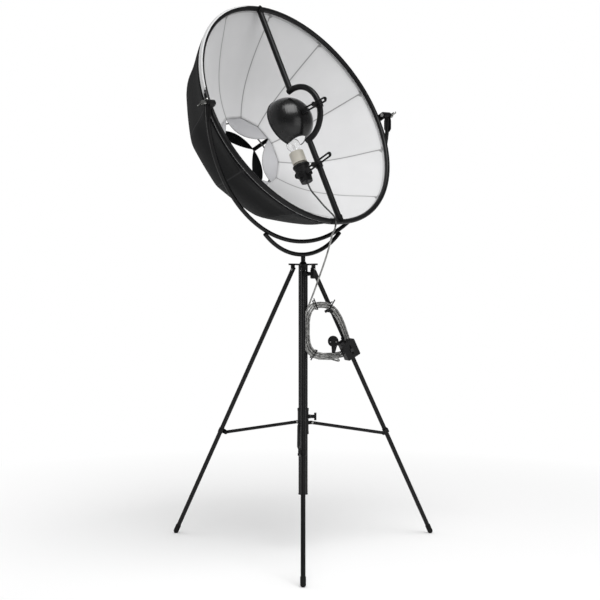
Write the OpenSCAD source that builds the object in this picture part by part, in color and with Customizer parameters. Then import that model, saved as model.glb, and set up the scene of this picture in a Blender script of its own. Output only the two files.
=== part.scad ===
// Tripod floor lamp. A folding tube tripod carries a lifting mast, a round yoke
// and a tilting cloth shade with a bowl reflector on a cross bar.
// Millimetres, +Z up. The origin is the mast's axis on the floor and the
// front leg points along -Y.

/* [Tripod] */
// Height of the leg hinge pins above the floor
hinge_z = 946; // [935:1:955]
// Radius of the leg hinge pins from the mast's axis
hinge_r = 40; // [39:0.5:43]
// Radius at which the feet stand
foot_r = 521; // [500:1:540]
// Outer diameter of the leg tubes
leg_od = 15; // [14:0.5:15.5]
// Wall of the leg tubes
leg_wall = 1.5; // [1:0.1:2]
// Diameter of the hinge pins and strut pins
pin_d = 5; // [4:0.5:5.5]
// Thickness of the hub's hinge blades
blade_t = 4; // [3:0.5:4.5]
// Outer diameter of the struts
strut_od = 11; // [10:0.5:11.5]
// Wall of the struts
strut_wall = 1.2; // [0.8:0.1:1.6]
// Sideways offset of the struts from the legs' middle planes
strut_side = 14; // [14:0.5:15]
// Distance of the strut lug down the leg from its hinge
lug_s = 635; // [620:1:650]
// Distance of the strut lug's pin inward from the leg's axis
lug_e = 14.5; // [14:0.5:16]
// Height of the strut pins on the sliding collar
collar_z = 431; // [420:1:440]
// Radius of the strut pins from the mast's axis
ear_r = 27; // [26.5:0.5:29]

/* [Mast] */
// Outer diameter of the column
column_od = 31; // [30:0.5:32]
// Wall of the column
column_wall = 1.5; // [1.2:0.1:1.8]
// Height of the column's lower end
column_low_z = 190; // [180:1:200]
// Height of the hub plate's underside
plate_z = 961; // [960:1:965]
// Thickness of the hub plate
plate_t = 5; // [4:0.5:6]
// Height of the cone above the hub plate
cone_h = 7; // [6:0.5:10]
// Outer diameter of the lifting pole
pole_od = 15; // [14:0.5:16]
// Wall of the lifting pole
pole_wall = 1.5; // [1.2:0.1:2]
// Height of the lifting pole's lower end when it is down
pole_low_z = 260; // [250:1:280]
// Length of the guide bush under the hub plate
bush_h = 56; // [50:1:60]
// Outer diameter of the sliding collar
collar_od = 37; // [36:0.5:38]

/* [Yoke] */
// Height of the tilt pivots
pivot_z = 1479.5; // [1475:0.5:1490]
// Radius of the yoke's centreline
yoke_r = 439; // [437:0.5:442]
// Outer diameter of the yoke and cradle tubes
yoke_od = 14; // [13:0.5:15]
// Wall of the yoke tube
yoke_wall = 1.5; // [1.2:0.1:2]
// Thickness of the washers between the yoke and the shade's lugs
washer_t = 10.75; // [10:0.25:12]
// Height of the cradle's lowest centreline point
cradle_low_z = 997; // [995:0.5:999]
// Radius of the cradle's centreline
cradle_r = 270; // [265:1:275]
// Turn of the yoke about the mast, from +X
head_az = 47.07; // [40:0.01:55]
// Upward tilt of the shade's mouth
head_tilt = 27.28; // [20:0.01:35]

/* [Shade] */
// Radius of the shade's ring, to the tube's middle
ring_r = 406; // [404:0.5:407]
// Outer diameter of the ring tube
ring_od = 17; // [16:0.5:18]
// Wall of the ring tube
ring_wall = 1.5; // [1.2:0.1:2]
// Distance of the ring behind the tilt axis
ring_back = 24; // [23:0.5:26]
// Thickness of the shade's two cloths
cloth_t = 1.5; // [1.2:0.1:1.8]
// Number of gores and ribs
gores = 11; // [9:1:13]
// Angle of the first seam from the tilt axis
seam_at = 15.5; // [10:0.5:20]
// Width of the ribs
rib_w = 4; // [3:0.5:5]
// Diameter of the pivot bolts
bolt_d = 8; // [7:0.5:9]

/* [Reflector and lamp] */
// Outer diameter of the cross bar
bar_od = 20; // [18:0.5:20.5]
// Wall of the cross bar
bar_wall = 1.5; // [1.2:0.1:2]
// Distance of the cross bar behind the tilt axis
bar_back = 22; // [21:0.5:23]
// Radius of the arch that carries the reflector bowl
arch_r = 93; // [92:0.5:96]
// Middle of the arch along the bar
arch_y = -8; // [-9:0.5:-7]
// Length of the reflector's slotted arm
reflector_arm_len = 116; // [112:1:120]
// Length of the lampholder's slotted arm
holder_arm_len = 124; // [120:1:128]
// Width of the slotted arms
arm_w = 18; // [16:0.5:20]
// Thickness of the slotted arms
arm_t = 3; // [2.5:0.5:4]
// Width of the slots in the arms
slot_w = 7; // [7:0.25:8]
// Diameter of the clamp screws
screw_d = 6; // [5:0.5:6]
// Outer radius of the reflector bowl
bowl_r = 84.5; // [80:0.5:86]
// Wall of the reflector bowl
bowl_wall = 1.6; // [1.2:0.1:2]
// Lean of the reflector arm
arm_lean = 8; // [5:0.5:10]
// Width of the notch in the bowl
notch_w = 61; // [58:0.5:64]
// Diameter of the lampholder at its open end
holder_d = 58; // [56:0.5:60]
// Diameter of the lamp's cap
cap_d = 50; // [46:0.5:51]
// Diameter of the lamp's glass globe
globe_d = 46; // [42:0.5:47]

/* [Cord] */
// Diameter of the cord
cord_d = 6; // [5:0.5:6]
// Turns in the hung coil
coil_turns = 5.36; // [4.36:1:5.36]
// Inward step of each turn
coil_pitch = 8; // [7.8:0.1:8.2]
// Distance between the coil's two layers
coil_layer = 7; // [7:0.1:7.5]

/* [Hidden] */
$fn = 64;

// Colours
satin = "#2a2a2c";
soft_black = "#1d1d1f";
bright = "#c9c9c6";
pale = "#d9d9d6";

// Clearances: turning and sliding fits, fixed fits, and soft pieces
run_gap = 0.05;
fix_gap = 0.02;
soft_gap = 0.3;

// Leg azimuths and tripod geometry
az_front = -90;
az_right = 30;
az_left = 150;
foot_ball = 9;
foot_z = 8;
lean = atan2(foot_r - hinge_r, hinge_z - foot_z);
leg_len = norm([foot_r - hinge_r, hinge_z - foot_z]);
knuckle_top = 8;
knuckle_low = 18;
spigot_h = 16;
slot_gap = 0.2;
leg_end = 3;
head_h = 1.2;
head_rim = 1.25;
lug_t = 3.7;
lug_in = strut_side - 6;
slab_t = 4;
slab_far = 62;
slab_near = 14;
lug_r = hinge_r + lug_s * sin(lean) - lug_e * cos(lean);
lug_z = hinge_z - lug_s * cos(lean) - lug_e * sin(lean);
strut_len = norm([lug_r - ear_r, collar_z - lug_z]);
strut_drop = atan2(collar_z - lug_z, lug_r - ear_r);

// Column and mast
column_id = column_od - 2 * column_wall;
collar_low = collar_z - 38;
collar_top = collar_z + 49;
collar_screw_z = collar_z + 21;
mast_screw_z = plate_z - 28;
mast_screw_az = -30;
swivel_z = plate_z + plate_t + cone_h;
swivel_d = pole_od - 5;
spigot_up = 12;
glide_h = 24;
boss_d = 14;

// Yoke and head
cradle_z = cradle_low_z + cradle_r;
cradle_half = 42.5;
hub_x = yoke_r - 8;
hub_d = 22;
hub_len = 16;
lug_x = ring_r + ring_od / 2 - 2.5;
washer_gap = 0.25;
lug_len = hub_x - washer_t - washer_gap - lug_x;
nut_x = hub_x + hub_len + 1;
nut_h = 12;

// Shade profiles: radius and depth behind the ring's middle
lining_at = [
  [403, 8.8], [386, 30], [364, 60], [340, 94], [315, 126], [290, 155],
  [262, 183], [232, 209], [200, 231], [168, 248], [134, 262]
];
cover_at = [
  [409, 8.8], [399, 28], [378, 62], [358, 98], [336, 148], [305, 200],
  [261, 250], [211, 290], [190, 301.9]
];
rib_at = [
  [406.8, 8.6], [391.5, 30], [371, 62], [350, 96], [327, 132], [303, 165],
  [273, 198], [240, 228], [204, 256], [166, 278], [127, 296]
];
hoop_d = 5;
vent_seam = 24;
petal_bow = 53;
cap_bow = 44;
cap_r = 120;
cap_depth = 334.3;
strap_w = 14;
strap_seat = 8;

// Cross bar, arms and lamp
arch_out = 10;
bar_end = ring_r - ring_od / 2 - 0.3;
arm_x = 15.3;
slot_end = 10;
clamp_wall = 3;
clamp_len = 18;
holder_y = -196;
lamp_z = -94;
bowl_y = -5;
bowl_z = 5 - bowl_r;
rim_z = -88;
knob_d = 16;
knob_h = 11.4;
globe_y = -83;
cap_y = [-152, -112];
holder_open = -160;
holder_end = -223;
socket_d = 36;

// Hung coil: offsets in the right leg's plane
coil_left = -14;
coil_wide = 168;
coil_slant = 36;
coil_mid_z = 742;
coil_high = 98;
coil_out = 30;
coil_start = 140;
coil_steps = 24;
coil_half = (coil_turns - 0.5) / 2;
coil_deep = coil_pitch * coil_half;
plug_at = [101, 1, 706];
pin_reach = 29;
hook_at = [-23.6, -147];
post_at = [-38, -268];
box_at = [-27.5, -289];
box_back = 44;
box_deep = 26;
tie_at = [105, 62, 330, 235];
tie_w = 4;
tie_bite = 0.2;

// Cord routes. The head's points lie in the shade's frame, the rest stand
// in the lamp's own frame.
head_route = [
  [0, -223.1, -94], [0, -233, -93.5], [-2, -258, -89], [-9, -296, -70],
  [-20, -336, -47], [-29, -370, -25], [-33.5, -392, -12.5],
  [-36, -406, -10.3], [-37, -418, -14], [-37, -427, -21]
];
drop_route = [
  [94, -145, 1064], [88, -135, 1038], [73, -115, 985], [49, -90, 914],
  [35, -52, 872]
];
tail_route = [
  [116, 19, 638], [121, 12, 640], [117, 4, 646], [108, 0, 652]
];

// Turns a point of the shade's frame into the lamp's own frame
function head_to_world(p) = [0, 0, pivot_z] + head_turn(p);

function head_turn(p) =
  p.x * [cos(head_az), sin(head_az), 0]
  + p.y * [-sin(head_az) * sin(head_tilt), cos(head_az) * sin(head_tilt), cos(head_tilt)]
  + p.z * [sin(head_az) * cos(head_tilt), -cos(head_az) * cos(head_tilt), sin(head_tilt)];

// Turns radius, outward offset and height in the right leg's plane
function leg_to_world(p) = [
  p.x * cos(az_right) + p.y * sin(az_right),
  p.x * sin(az_right) - p.y * cos(az_right),
  p.z
];

function unit(v) = v / norm(v);

// Smooth curve through a route, n steps a span
function curve_at(p, i, t) =
  let (
    a = p[max(i - 1, 0)],
    b = p[i],
    c = p[i + 1],
    d = p[min(i + 2, len(p) - 1)]
  )
  0.5 * (2 * b + (c - a) * t + (2 * a - 5 * b + 4 * c - d) * t * t
  + (3 * b - a - 3 * c + d) * t * t * t);

function smooth(p, n) = concat(
  [for (i = [0:len(p) - 2]) for (j = [0:n - 1]) curve_at(p, i, j / n)],
  [p[len(p) - 1]]
);

// Directions and untwisted normals along a path
function ways(p) = [
  for (i = [0:len(p) - 1]) unit(p[min(i + 1, len(p) - 1)] - p[max(i - 1, 0)])
];

function flat_to(n, w) = unit(n - (n * w) * w);

function normals(w) = [
  for (i = 0, n = flat_to([0.1, 0.2, 1], w[0]); i < len(w);
    i = i + 1, n = flat_to(n, w[min(i, len(w) - 1)])) n
];

// Coil: a squarish spiral that winds in on the front layer, crosses to the
// back layer in half a turn and winds out again
function soft_step(x) = sign(x) * pow(abs(x), 2 / 3);

function coil_inset(t) = coil_pitch * min(t, coil_turns - t, coil_half);

function coil_depth(t) =
  coil_layer * (0.5 - min(max((t - coil_half) / 0.5, 0), 1));

function coil_point(angle, inset, depth) =
  let (u = soft_step(cos(angle)), v = soft_step(sin(angle)))
  [
    coil_left + inset + (u + 1) / 2 * (coil_wide - coil_slant * v - 2 * inset),
    coil_out + depth,
    coil_mid_z + (coil_high - inset) * v
  ];

function coil_at(t) =
  leg_to_world(coil_point(coil_start + 360 * t, coil_inset(t), coil_depth(t)));

coil_n = round(coil_turns * coil_steps);
coil_turn = [for (i = [0:coil_n]) coil_at(coil_turns * i / coil_n)];
coil_in = unit(coil_turn[1] - coil_turn[0]);
coil_off = unit(coil_turn[coil_n] - coil_turn[coil_n - 1]);
coil_path = concat(
  [coil_turn[0] - cord_d * coil_in], coil_turn, [coil_turn[coil_n] + cord_d * coil_off]
);

// Least gap between turns, from points more than half a turn apart
coil_gap = min([
  for (i = [0:coil_n]) for (j = [i + coil_steps / 2:coil_n])
    norm(coil_turn[i] - coil_turn[j])
]) - cord_d;
echo(least_coil_gap = coil_gap);

// Cord ends that meet one another face to face
head_path = smooth(head_route, 3);
head_end = head_to_world(head_route[len(head_route) - 1]);
head_way = head_turn(unit(head_path[len(head_path) - 1] - head_path[len(head_path) - 2]));
coil_first = coil_path[0];
coil_last = coil_path[len(coil_path) - 1];
neck_at = plug_at + [4, 0, -40];
drop_path = concat(
  [head_end],
  smooth(concat([head_end + 6 * head_way], drop_route, [coil_first - 7 * coil_in]), 3),
  [coil_first]
);
tail_path = concat(
  [coil_last],
  smooth(concat([coil_last + 6 * coil_off], tail_route, [neck_at - [0, 0, 7]]), 3),
  [neck_at]
);

// ---- Shared shapes ----

// Tube along Z from z0 to z1
module pipe(z0, z1, od, id) {
  difference() {
    translate([0, 0, z0]) cylinder(h = z1 - z0, d = od);
    translate([0, 0, z0 - 1]) cylinder(h = z1 - z0 + 2, d = id);
  }
}

// Rod along Z, X or Y between two stations
module rod(z0, z1, d) {
  translate([0, 0, z0]) cylinder(h = z1 - z0, d = d);
}

module rod_x(x0, x1, d) {
  translate([x0, 0, 0]) rotate([0, 90, 0]) cylinder(h = x1 - x0, d = d);
}

module rod_y(y0, y1, d) {
  translate([0, y0, 0]) rotate([-90, 0, 0]) cylinder(h = y1 - y0, d = d);
}

// Radial frame at an azimuth and height, with local Z outward
module outward(az, z) {
  rotate([0, 0, az]) translate([0, 0, z]) rotate([0, 90, 0]) children();
}

// Leg frame: origin at the hinge, local -Z down the leg
module leg_frame(az) {
  rotate([0, 0, az]) translate([hinge_r, 0, hinge_z]) rotate([0, -lean, 0]) children();
}

// Strut frame: origin at the collar's pin, local X along the strut
module strut_frame(az) {
  rotate([0, 0, az]) translate([ear_r, -strut_side, collar_z])
    rotate([0, strut_drop, 0]) children();
}

// Yoke frame and shade frame, both at the middle of the tilt axis
module yoke_frame() {
  translate([0, 0, pivot_z]) rotate([0, 0, head_az]) children();
}

module head_frame() {
  yoke_frame() rotate([90 - head_tilt, 0, 0]) children();
}

// Swept round tube along a path
module swept(path, d, sides) {
  w = ways(path);
  n = normals(w);
  last = len(path) - 1;
  points = [
    for (i = [0:last]) let (b = cross(w[i], n[i])) for (k = [0:sides - 1])
      path[i] + d / 2 * (cos(360 * k / sides) * n[i] + sin(360 * k / sides) * b)
  ];
  faces = concat(
    [[for (k = [0:sides - 1]) k]],
    [[for (k = [sides - 1:-1:0]) last * sides + k]],
    [
      for (i = [0:last - 1]) for (k = [0:sides - 1])
        [i * sides + k, (i + 1) * sides + k, (i + 1) * sides + (k + 1) % sides]
    ],
    [
      for (i = [0:last - 1]) for (k = [0:sides - 1])
        [i * sides + k, (i + 1) * sides + (k + 1) % sides, i * sides + (k + 1) % sides]
    ]
  );
  polyhedron(points = points, faces = faces, convexity = 10);
}

// T-shaped grip: a bar with round ends, tall along local X
module grip(base, deep, tall, thick) {
  translate([0, 0, base]) {
    for (s = [-1, 1])
      translate([s * (tall - thick) / 2, 0, 0]) cylinder(h = deep, d = thick);
    translate([-(tall - thick) / 2, -thick / 2, 0]) cube([tall - thick, thick, deep]);
  }
}

// Meridian profile made into a shell of the cloth's thickness
function shell_outline(p, out) = concat(
  p,
  [
    for (i = [len(p) - 1:-1:0])
      let (
        w = unit(p[min(i + 1, len(p) - 1)] - p[max(i - 1, 0)]),
        n = [w.y, -w.x]
      )
      p[i] + out * (i == 0 ? [sign(n.x), 0] : n)
  ]
);

module shell_of(p, out) {
  translate([0, 0, -ring_back]) mirror([0, 0, 1])
    rotate_extrude() polygon(shell_outline(p, out));
}

// Lens between a circle and an arc that bows in by the given amount
module lens(r, bow) {
  half = r * sin(45);
  mid = r - bow;
  big = (half * half + half * half - mid * mid) / (2 * (half - mid));
  intersection() {
    circle(r = r, $fn = 128);
    translate([big, 0]) circle(r = big - mid, $fn = 256);
  }
}

// ---- Column ----

module column_tube() {
  color(satin) difference() {
    union() {
      rod(column_low_z, plate_z, column_od);
      outward(mast_screw_az, mast_screw_z) rod(column_id / 2, column_od / 2 + 8, boss_d);
    }
    rod(column_low_z - 1, plate_z + 1, column_id);
    outward(mast_screw_az, mast_screw_z) rod(0, column_od, screw_d + 2 * run_gap);
  }
}

module column_end_cap() {
  color(soft_black) {
    rod(column_low_z - 2, column_low_z, column_od + 2);
    rod(column_low_z, column_low_z + 12, column_id - 2 * fix_gap);
  }
}

// Three-lobed plate with a blade under each lobe
module hub_spider() {
  color(satin) difference() {
    union() {
      rod(plate_z, plate_z + plate_t, column_od + 7);
      for (az = [az_front, az_right, az_left]) rotate([0, 0, az]) {
        translate([0, -9, plate_z]) cube([hinge_r + 6.6, 18, plate_t]);
        translate([hinge_r + 6.6, 0, plate_z]) cylinder(h = plate_t, r = 9);
        translate([hinge_r - 7, -blade_t / 2, hinge_z]) cube([14, blade_t, plate_z - hinge_z]);
        translate([hinge_r, 0, hinge_z]) rod_y(-blade_t / 2, blade_t / 2, 14);
      }
    }
    rod(plate_z - 1, plate_z + plate_t + 1, pole_od + 2 * run_gap);
    for (az = [az_front, az_right, az_left]) rotate([0, 0, az])
      translate([hinge_r, 0, hinge_z]) rod_y(-blade_t, blade_t, pin_d + 2 * fix_gap);
  }
}

module hub_collar() {
  color(satin) difference() {
    translate([0, 0, plate_z + plate_t]) cylinder(h = cone_h, d1 = pole_od + 11, d2 = pole_od + 2.5);
    rod(plate_z, swivel_z + 1, pole_od + 2 * run_gap);
  }
}

module mast_bush() {
  color(soft_black) difference() {
    rod(plate_z - bush_h, plate_z, column_id - 2 * fix_gap);
    rod(plate_z - bush_h - 1, plate_z + 1, pole_od + 2 * run_gap);
    outward(mast_screw_az, mast_screw_z) rod(0, column_od, screw_d + 2 * run_gap);
  }
}

module hinge_pins() {
  color(bright)
    for (az = [az_front, az_right, az_left]) rotate([0, 0, az])
      translate([hinge_r, 0, hinge_z]) {
        far = leg_od / 2 + slot_gap;
        rod_y(-far - head_h, far + head_h, pin_d);
        rod_y(-far - head_h, -far, pin_d + 2 * head_rim);
        rod_y(far, far + head_h, pin_d + 2 * head_rim);
      }
}

module mast_clamp_knob() {
  color(soft_black) outward(mast_screw_az, mast_screw_z) {
    rod(pole_od / 2 + soft_gap, column_od, screw_d);
    rod(column_od / 2 + 8 + soft_gap, column_od, boss_d - 2);
    grip(column_od, 13, 32, 12);
  }
}

// ---- Legs ----

// Tube with the lug that takes a strut beside it
module leg_tube(az) {
  low = leg_len - leg_end;
  color(satin) leg_frame(az) difference() {
    union() {
      rod(-low, -knuckle_low, leg_od);
      rod(-lug_s - 8, -lug_s + 8, leg_od + 3);
      translate([-lug_e, 0, -lug_s]) rod_y(-lug_in - lug_t, -lug_in, 15);
      translate([-lug_e, -lug_in - lug_t, -lug_s - 7.5]) cube([lug_e + 7, lug_t, 15]);
      translate([-7, -lug_in - lug_t / 2, -lug_s - 7.5]) cube([14, lug_in - 3, 15]);
      translate([-lug_e, 0, -lug_s]) rod_y(-lug_in, -lug_in + 1.5, pin_d + 3);
    }
    rod(-low - 1, 0, leg_od - 2 * leg_wall);
  }
}

module leg_front() { leg_tube(az_front); }
module leg_right() { leg_tube(az_right); }
module leg_left() { leg_tube(az_left); }

// Forked end that straddles the hub's blade
module knuckle(az) {
  color(soft_black) leg_frame(az) difference() {
    union() {
      rod(-knuckle_low, knuckle_top, leg_od);
      rod(-knuckle_low - spigot_h, -knuckle_low, leg_od - 2 * leg_wall - 2 * fix_gap);
    }
    translate([-leg_od, -blade_t / 2 - slot_gap, -knuckle_top])
      cube([2 * leg_od, blade_t + 2 * slot_gap, 2 * knuckle_top + 1]);
    rod_y(-leg_od, leg_od, pin_d + 2 * run_gap);
  }
}

module knuckle_front() { knuckle(az_front); }
module knuckle_right() { knuckle(az_right); }
module knuckle_left() { knuckle(az_left); }

// Rubber foot with a flat sole
module foot(az) {
  color(soft_black) difference() {
    leg_frame(az) difference() {
      union() {
        translate([0, 0, -leg_len]) sphere(r = foot_ball);
        rod(-leg_len, -leg_len + 24, 2 * foot_ball);
      }
      rod(-leg_len + leg_end, -leg_len + 30, leg_od + 2 * fix_gap);
    }
    translate([-2 * foot_r, -2 * foot_r, -50]) cube([4 * foot_r, 4 * foot_r, 50]);
  }
}

module foot_front() { foot(az_front); }
module foot_right() { foot(az_right); }
module foot_left() { foot(az_left); }

// ---- Sliding collar and struts ----

module collar_sleeve() {
  color(soft_black) difference() {
    union() {
      rod(collar_low, collar_top, collar_od);
      rod(collar_low, collar_low + 8, collar_od + 1.5);
      rod(collar_top - 8, collar_top, collar_od + 1.5);
      outward(0, collar_screw_z) rod(column_od / 2, collar_od / 2 + 7, boss_d);
      for (az = [az_front, az_right, az_left]) rotate([0, 0, az]) {
        translate([ear_r, 0, collar_z]) rod_y(-lug_in - lug_t, -lug_in, 12);
        translate([10, -lug_in - lug_t, collar_z - 6]) cube([ear_r - 10, lug_t, 12]);
      }
    }
    rod(collar_low - 1, collar_top + 1, column_od + 2 * run_gap);
    outward(0, collar_screw_z) rod(0, collar_od, screw_d + 2 * run_gap);
    for (az = [az_front, az_right, az_left]) rotate([0, 0, az])
      translate([ear_r, 0, collar_z])
        rod_y(-lug_in - lug_t - 1, -lug_in + 1, pin_d + 2 * fix_gap);
  }
}

module collar_pins() {
  far = strut_side + slab_t / 2 + slot_gap;
  color(bright)
    for (az = [az_front, az_right, az_left]) rotate([0, 0, az])
      translate([ear_r, 0, collar_z]) {
        rod_y(-far - head_h, -lug_in + head_h, pin_d);
        rod_y(-far - head_h, -far, pin_d + 2 * head_rim);
        rod_y(-lug_in, -lug_in + head_h, pin_d + 2 * head_rim);
      }
}

module collar_screw() {
  color(soft_black) outward(0, collar_screw_z) {
    rod(column_od / 2 + soft_gap, collar_od, screw_d);
    rod(collar_od / 2 + 7 + soft_gap, collar_od, boss_d - 2);
    grip(collar_od, 8, 26, 10);
  }
}

// Strut with pressed flat ends and the rivet of its open outer joint
module strut(az) {
  color(satin) strut_frame(az) difference() {
    union() {
      translate([0, -slab_t / 2, -strut_od / 2]) cube([slab_near, slab_t, strut_od]);
      rod_y(-slab_t / 2, slab_t / 2, strut_od);
      hull() {
        translate([slab_near - 0.5, -slab_t / 2, -strut_od / 2]) cube([0.5, slab_t, strut_od]);
        rod_x(slab_near + 10, slab_near + 11, strut_od, $fn = 32);
      }
      difference() {
        rod_x(slab_near + 11, strut_len - slab_far - 11, strut_od);
        rod_x(slab_near + 13, strut_len - slab_far - 13, strut_od - 2 * strut_wall);
      }
      hull() {
        rod_x(strut_len - slab_far - 11, strut_len - slab_far - 10, strut_od, $fn = 32);
        translate([strut_len - slab_far, -slab_t / 2, -strut_od / 2])
          cube([0.5, slab_t, strut_od]);
      }
      translate([strut_len - slab_far, -slab_t / 2, -strut_od / 2])
        cube([slab_far, slab_t, strut_od]);
      translate([strut_len, 0, 0]) {
        rod_y(-slab_t / 2, slab_t / 2, strut_od);
        rod_y(-slab_t / 2 - head_h, 0, pin_d + 2 * head_rim);
      }
    }
    rod_y(-slab_t, slab_t, pin_d + 2 * run_gap);
  }
}

module strut_front() { strut(az_front); }
module strut_right() { strut(az_right); }
module strut_left() { strut(az_left); }

// ---- Mast ----

module inner_pole() {
  color(satin) {
    difference() {
      rod(pole_low_z, swivel_z, pole_od);
      rod(pole_low_z - 1, swivel_z - 20, pole_od - 2 * pole_wall);
    }
    rod(swivel_z, swivel_z + spigot_up, swivel_d - 2 * run_gap);
  }
}

module pole_glide() {
  color(soft_black) pipe(pole_low_z, pole_low_z + glide_h, column_id - 2 * run_gap, pole_od + 2 * fix_gap);
}

// ---- Yoke ----

// Stem with the shallow arc that carries the yoke
module cradle_arc() {
  color(satin) difference() {
    union() {
      rod(swivel_z + slot_gap, cradle_low_z, pole_od);
      translate([0, 0, cradle_z]) rotate([0, 0, head_az]) rotate([90, 0, 0])
        rotate([0, 0, 270 - cradle_half]) rotate_extrude(angle = 2 * cradle_half)
          translate([cradle_r, 0]) circle(d = yoke_od);
    }
    rod(swivel_z - 1, swivel_z + spigot_up + 1, swivel_d);
    yoke_frame() rotate([90, 0, 0]) rotate_extrude()
      translate([yoke_r, 0]) circle(d = yoke_od + 2 * fix_gap);
  }
}

// Half-round tube with an end plate and a bearing boss at each pivot
module yoke_arc() {
  color(satin) yoke_frame() difference() {
    union() {
      rotate([90, 0, 0]) rotate([0, 0, 180]) rotate_extrude(angle = 180)
        translate([yoke_r, 0]) circle(d = yoke_od);
      for (s = [0, 1]) mirror([s, 0, 0]) {
        rod_x(hub_x, hub_x + hub_len, hub_d);
        translate([hub_x + 6, 0, 0]) rotate([90, 0, 90]) linear_extrude(3)
          polygon([[-11, 0], [-15, -20], [-15, -48], [-8, -58], [8, -58], [15, -48], [15, -20], [11, 0]]);
      }
    }
    rotate([90, 0, 0]) rotate([0, 0, 183]) rotate_extrude(angle = 174)
      translate([yoke_r, 0]) circle(d = yoke_od - 2 * yoke_wall);
    for (s = [0, 1]) mirror([s, 0, 0])
      rod_x(hub_x - 1, hub_x + hub_len + 1, bolt_d + 2 * run_gap);
  }
}

module pivot_washers() {
  color(soft_black) yoke_frame()
    for (s = [0, 1]) mirror([s, 0, 0]) difference() {
      rod_x(hub_x - washer_t, hub_x, hub_d);
      rod_x(lug_x, hub_x + 1, bolt_d + 2 * run_gap);
    }
}

// ---- Shade ----

module ring_tube() {
  color(satin) head_frame() difference() {
    union() {
      translate([0, 0, -ring_back]) rotate_extrude() translate([ring_r, 0]) circle(d = ring_od);
      for (s = [0, 1]) mirror([s, 0, 0]) {
        rod_x(lug_x, lug_x + lug_len, hub_d);
        translate([lug_x, -hub_d / 2, -ring_back]) cube([lug_len, hub_d, ring_back]);
      }
    }
    translate([0, 0, -ring_back]) rotate_extrude()
      translate([ring_r, 0]) circle(d = ring_od - 2 * ring_wall);
    for (s = [0, 1]) mirror([s, 0, 0])
      rod_x(lug_x - 1, lug_x + lug_len + 1, bolt_d + 2 * fix_gap);
  }
}

module pivot_bolts() {
  color(bright) head_frame()
    for (s = [0, 1]) mirror([s, 0, 0]) {
      rod_x(lug_x - 5, nut_x + nut_h - 1, bolt_d);
      rod_x(lug_x - 5, lug_x, bolt_d + 5);
    }
}

module wing_nut(side) {
  color(bright) head_frame() mirror([side, 0, 0]) difference() {
    union() {
      rod_x(nut_x, nut_x + nut_h, bolt_d + 8);
      for (s = [0, 1]) mirror([0, 0, s]) {
        translate([nut_x + 1, -2, bolt_d / 2 + 2]) cube([14, 4, 12]);
        translate([nut_x + 8, 0, bolt_d / 2 + 14]) rod_y(-2, 2, 14);
      }
    }
    rod_x(nut_x - 1, nut_x + nut_h + 1, bolt_d + 2 * run_gap);
  }
}

module wing_nut_right() { wing_nut(0); }
module wing_nut_left() { wing_nut(1); }

module shade_lining() { color(pale) head_frame() shell_of(lining_at, cloth_t); }

module shade_cover() { color(soft_black) head_frame() shell_of(cover_at, -cloth_t); }

// Flat ribs between the two cloths, joined by the rear hoop
module shade_frame() {
  last = rib_at[len(rib_at) - 1];
  color(bright) head_frame() translate([0, 0, -ring_back]) {
    for (i = [0:gores - 1]) rotate([0, 0, seam_at + 360 * i / gores])
      rotate([90, 0, 0]) translate([0, 0, -rib_w / 2]) mirror([0, 1, 0])
        linear_extrude(rib_w) polygon(shell_outline(rib_at, -cloth_t));
    translate([0, 0, -last.y]) rotate_extrude() translate([last.x, 0]) circle(d = hoop_d);
  }
}

// Four pale petals that close the shade's back round an open middle
module vent_petals() {
  edge = lining_at[len(lining_at) - 1];
  color(pale) head_frame() translate([0, 0, -ring_back - edge.y - soft_gap]) intersection() {
    rotate_extrude() polygon([
      [edge.x, 0], [edge.x - 60, -28], [edge.x - 60, -28 - cloth_t], [edge.x, -cloth_t]
    ]);
    for (k = [0:3]) rotate([0, 0, vent_seam + 45 + 90 * k])
      translate([0, 0, -40]) linear_extrude(50) lens(edge.x - 0.5, petal_bow);
  }
}

// Four dark bands behind the petals, on straps from the cover's rear edge
module vent_cap() {
  edge = cover_at[len(cover_at) - 1];
  run = edge.x - cap_r;
  rise = cap_depth - edge.y - soft_gap;
  slope = atan2(rise, run);
  color(soft_black) head_frame() translate([0, 0, -ring_back - cap_depth - cloth_t])
    for (k = [0:3]) rotate([0, 0, vent_seam + 90 * k]) {
      rotate([0, 0, 45]) linear_extrude(cloth_t) lens(cap_r, cap_bow);
      translate([cap_r, -strap_w / 2, cloth_t]) rotate([0, -slope, 0]) translate([-2, 0, -cloth_t])
        cube([norm([run, rise]) + strap_seat + 2, strap_w, cloth_t]);
    }
}

// ---- Cross bar and arms ----

module arch_segment(od, half) {
  translate([0, arch_y, -bar_back]) rotate([90, 0, 90]) rotate([0, 0, 90 - half])
    rotate_extrude(angle = 2 * half) translate([arch_r, 0]) circle(d = od);
}

// Straight halves joined by an arch over the bowl, with tabs on the ring
module cross_bar() {
  color(satin) head_frame() difference() {
    union() {
      translate([0, 0, -bar_back]) {
        rod_y(arch_y + arch_r, bar_end, bar_od);
        rod_y(-bar_end, arch_y - arch_r, bar_od);
      }
      arch_segment(bar_od, 90);
      for (s = [-1, 1]) translate([0, arch_y + s * arch_r, -bar_back - arch_out])
        cylinder(h = arch_out, d = bar_od);
      for (s = [0, 1]) mirror([0, s, 0]) {
        translate([-7, bar_end - 12, -ring_back + ring_od / 2 + 0.1]) cube([14, 21, 3]);
        translate([-7, bar_end - 12, -bar_back + 5]) cube([14, 11, 5]);
        translate([0, bar_end + 9, -ring_back + ring_od / 2 + 0.1]) cylinder(h = 3, d = 14);
        translate([0, bar_end + 9, -ring_back + ring_od / 2 + 3]) cylinder(h = 2, d = 7);
      }
    }
    translate([0, 0, -bar_back]) {
      rod_y(arch_y + arch_r, bar_end - 2, bar_od - 2 * bar_wall);
      rod_y(2 - bar_end, arch_y - arch_r, bar_od - 2 * bar_wall);
    }
    arch_segment(bar_od - 2 * bar_wall, 89);
  }
}

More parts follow.
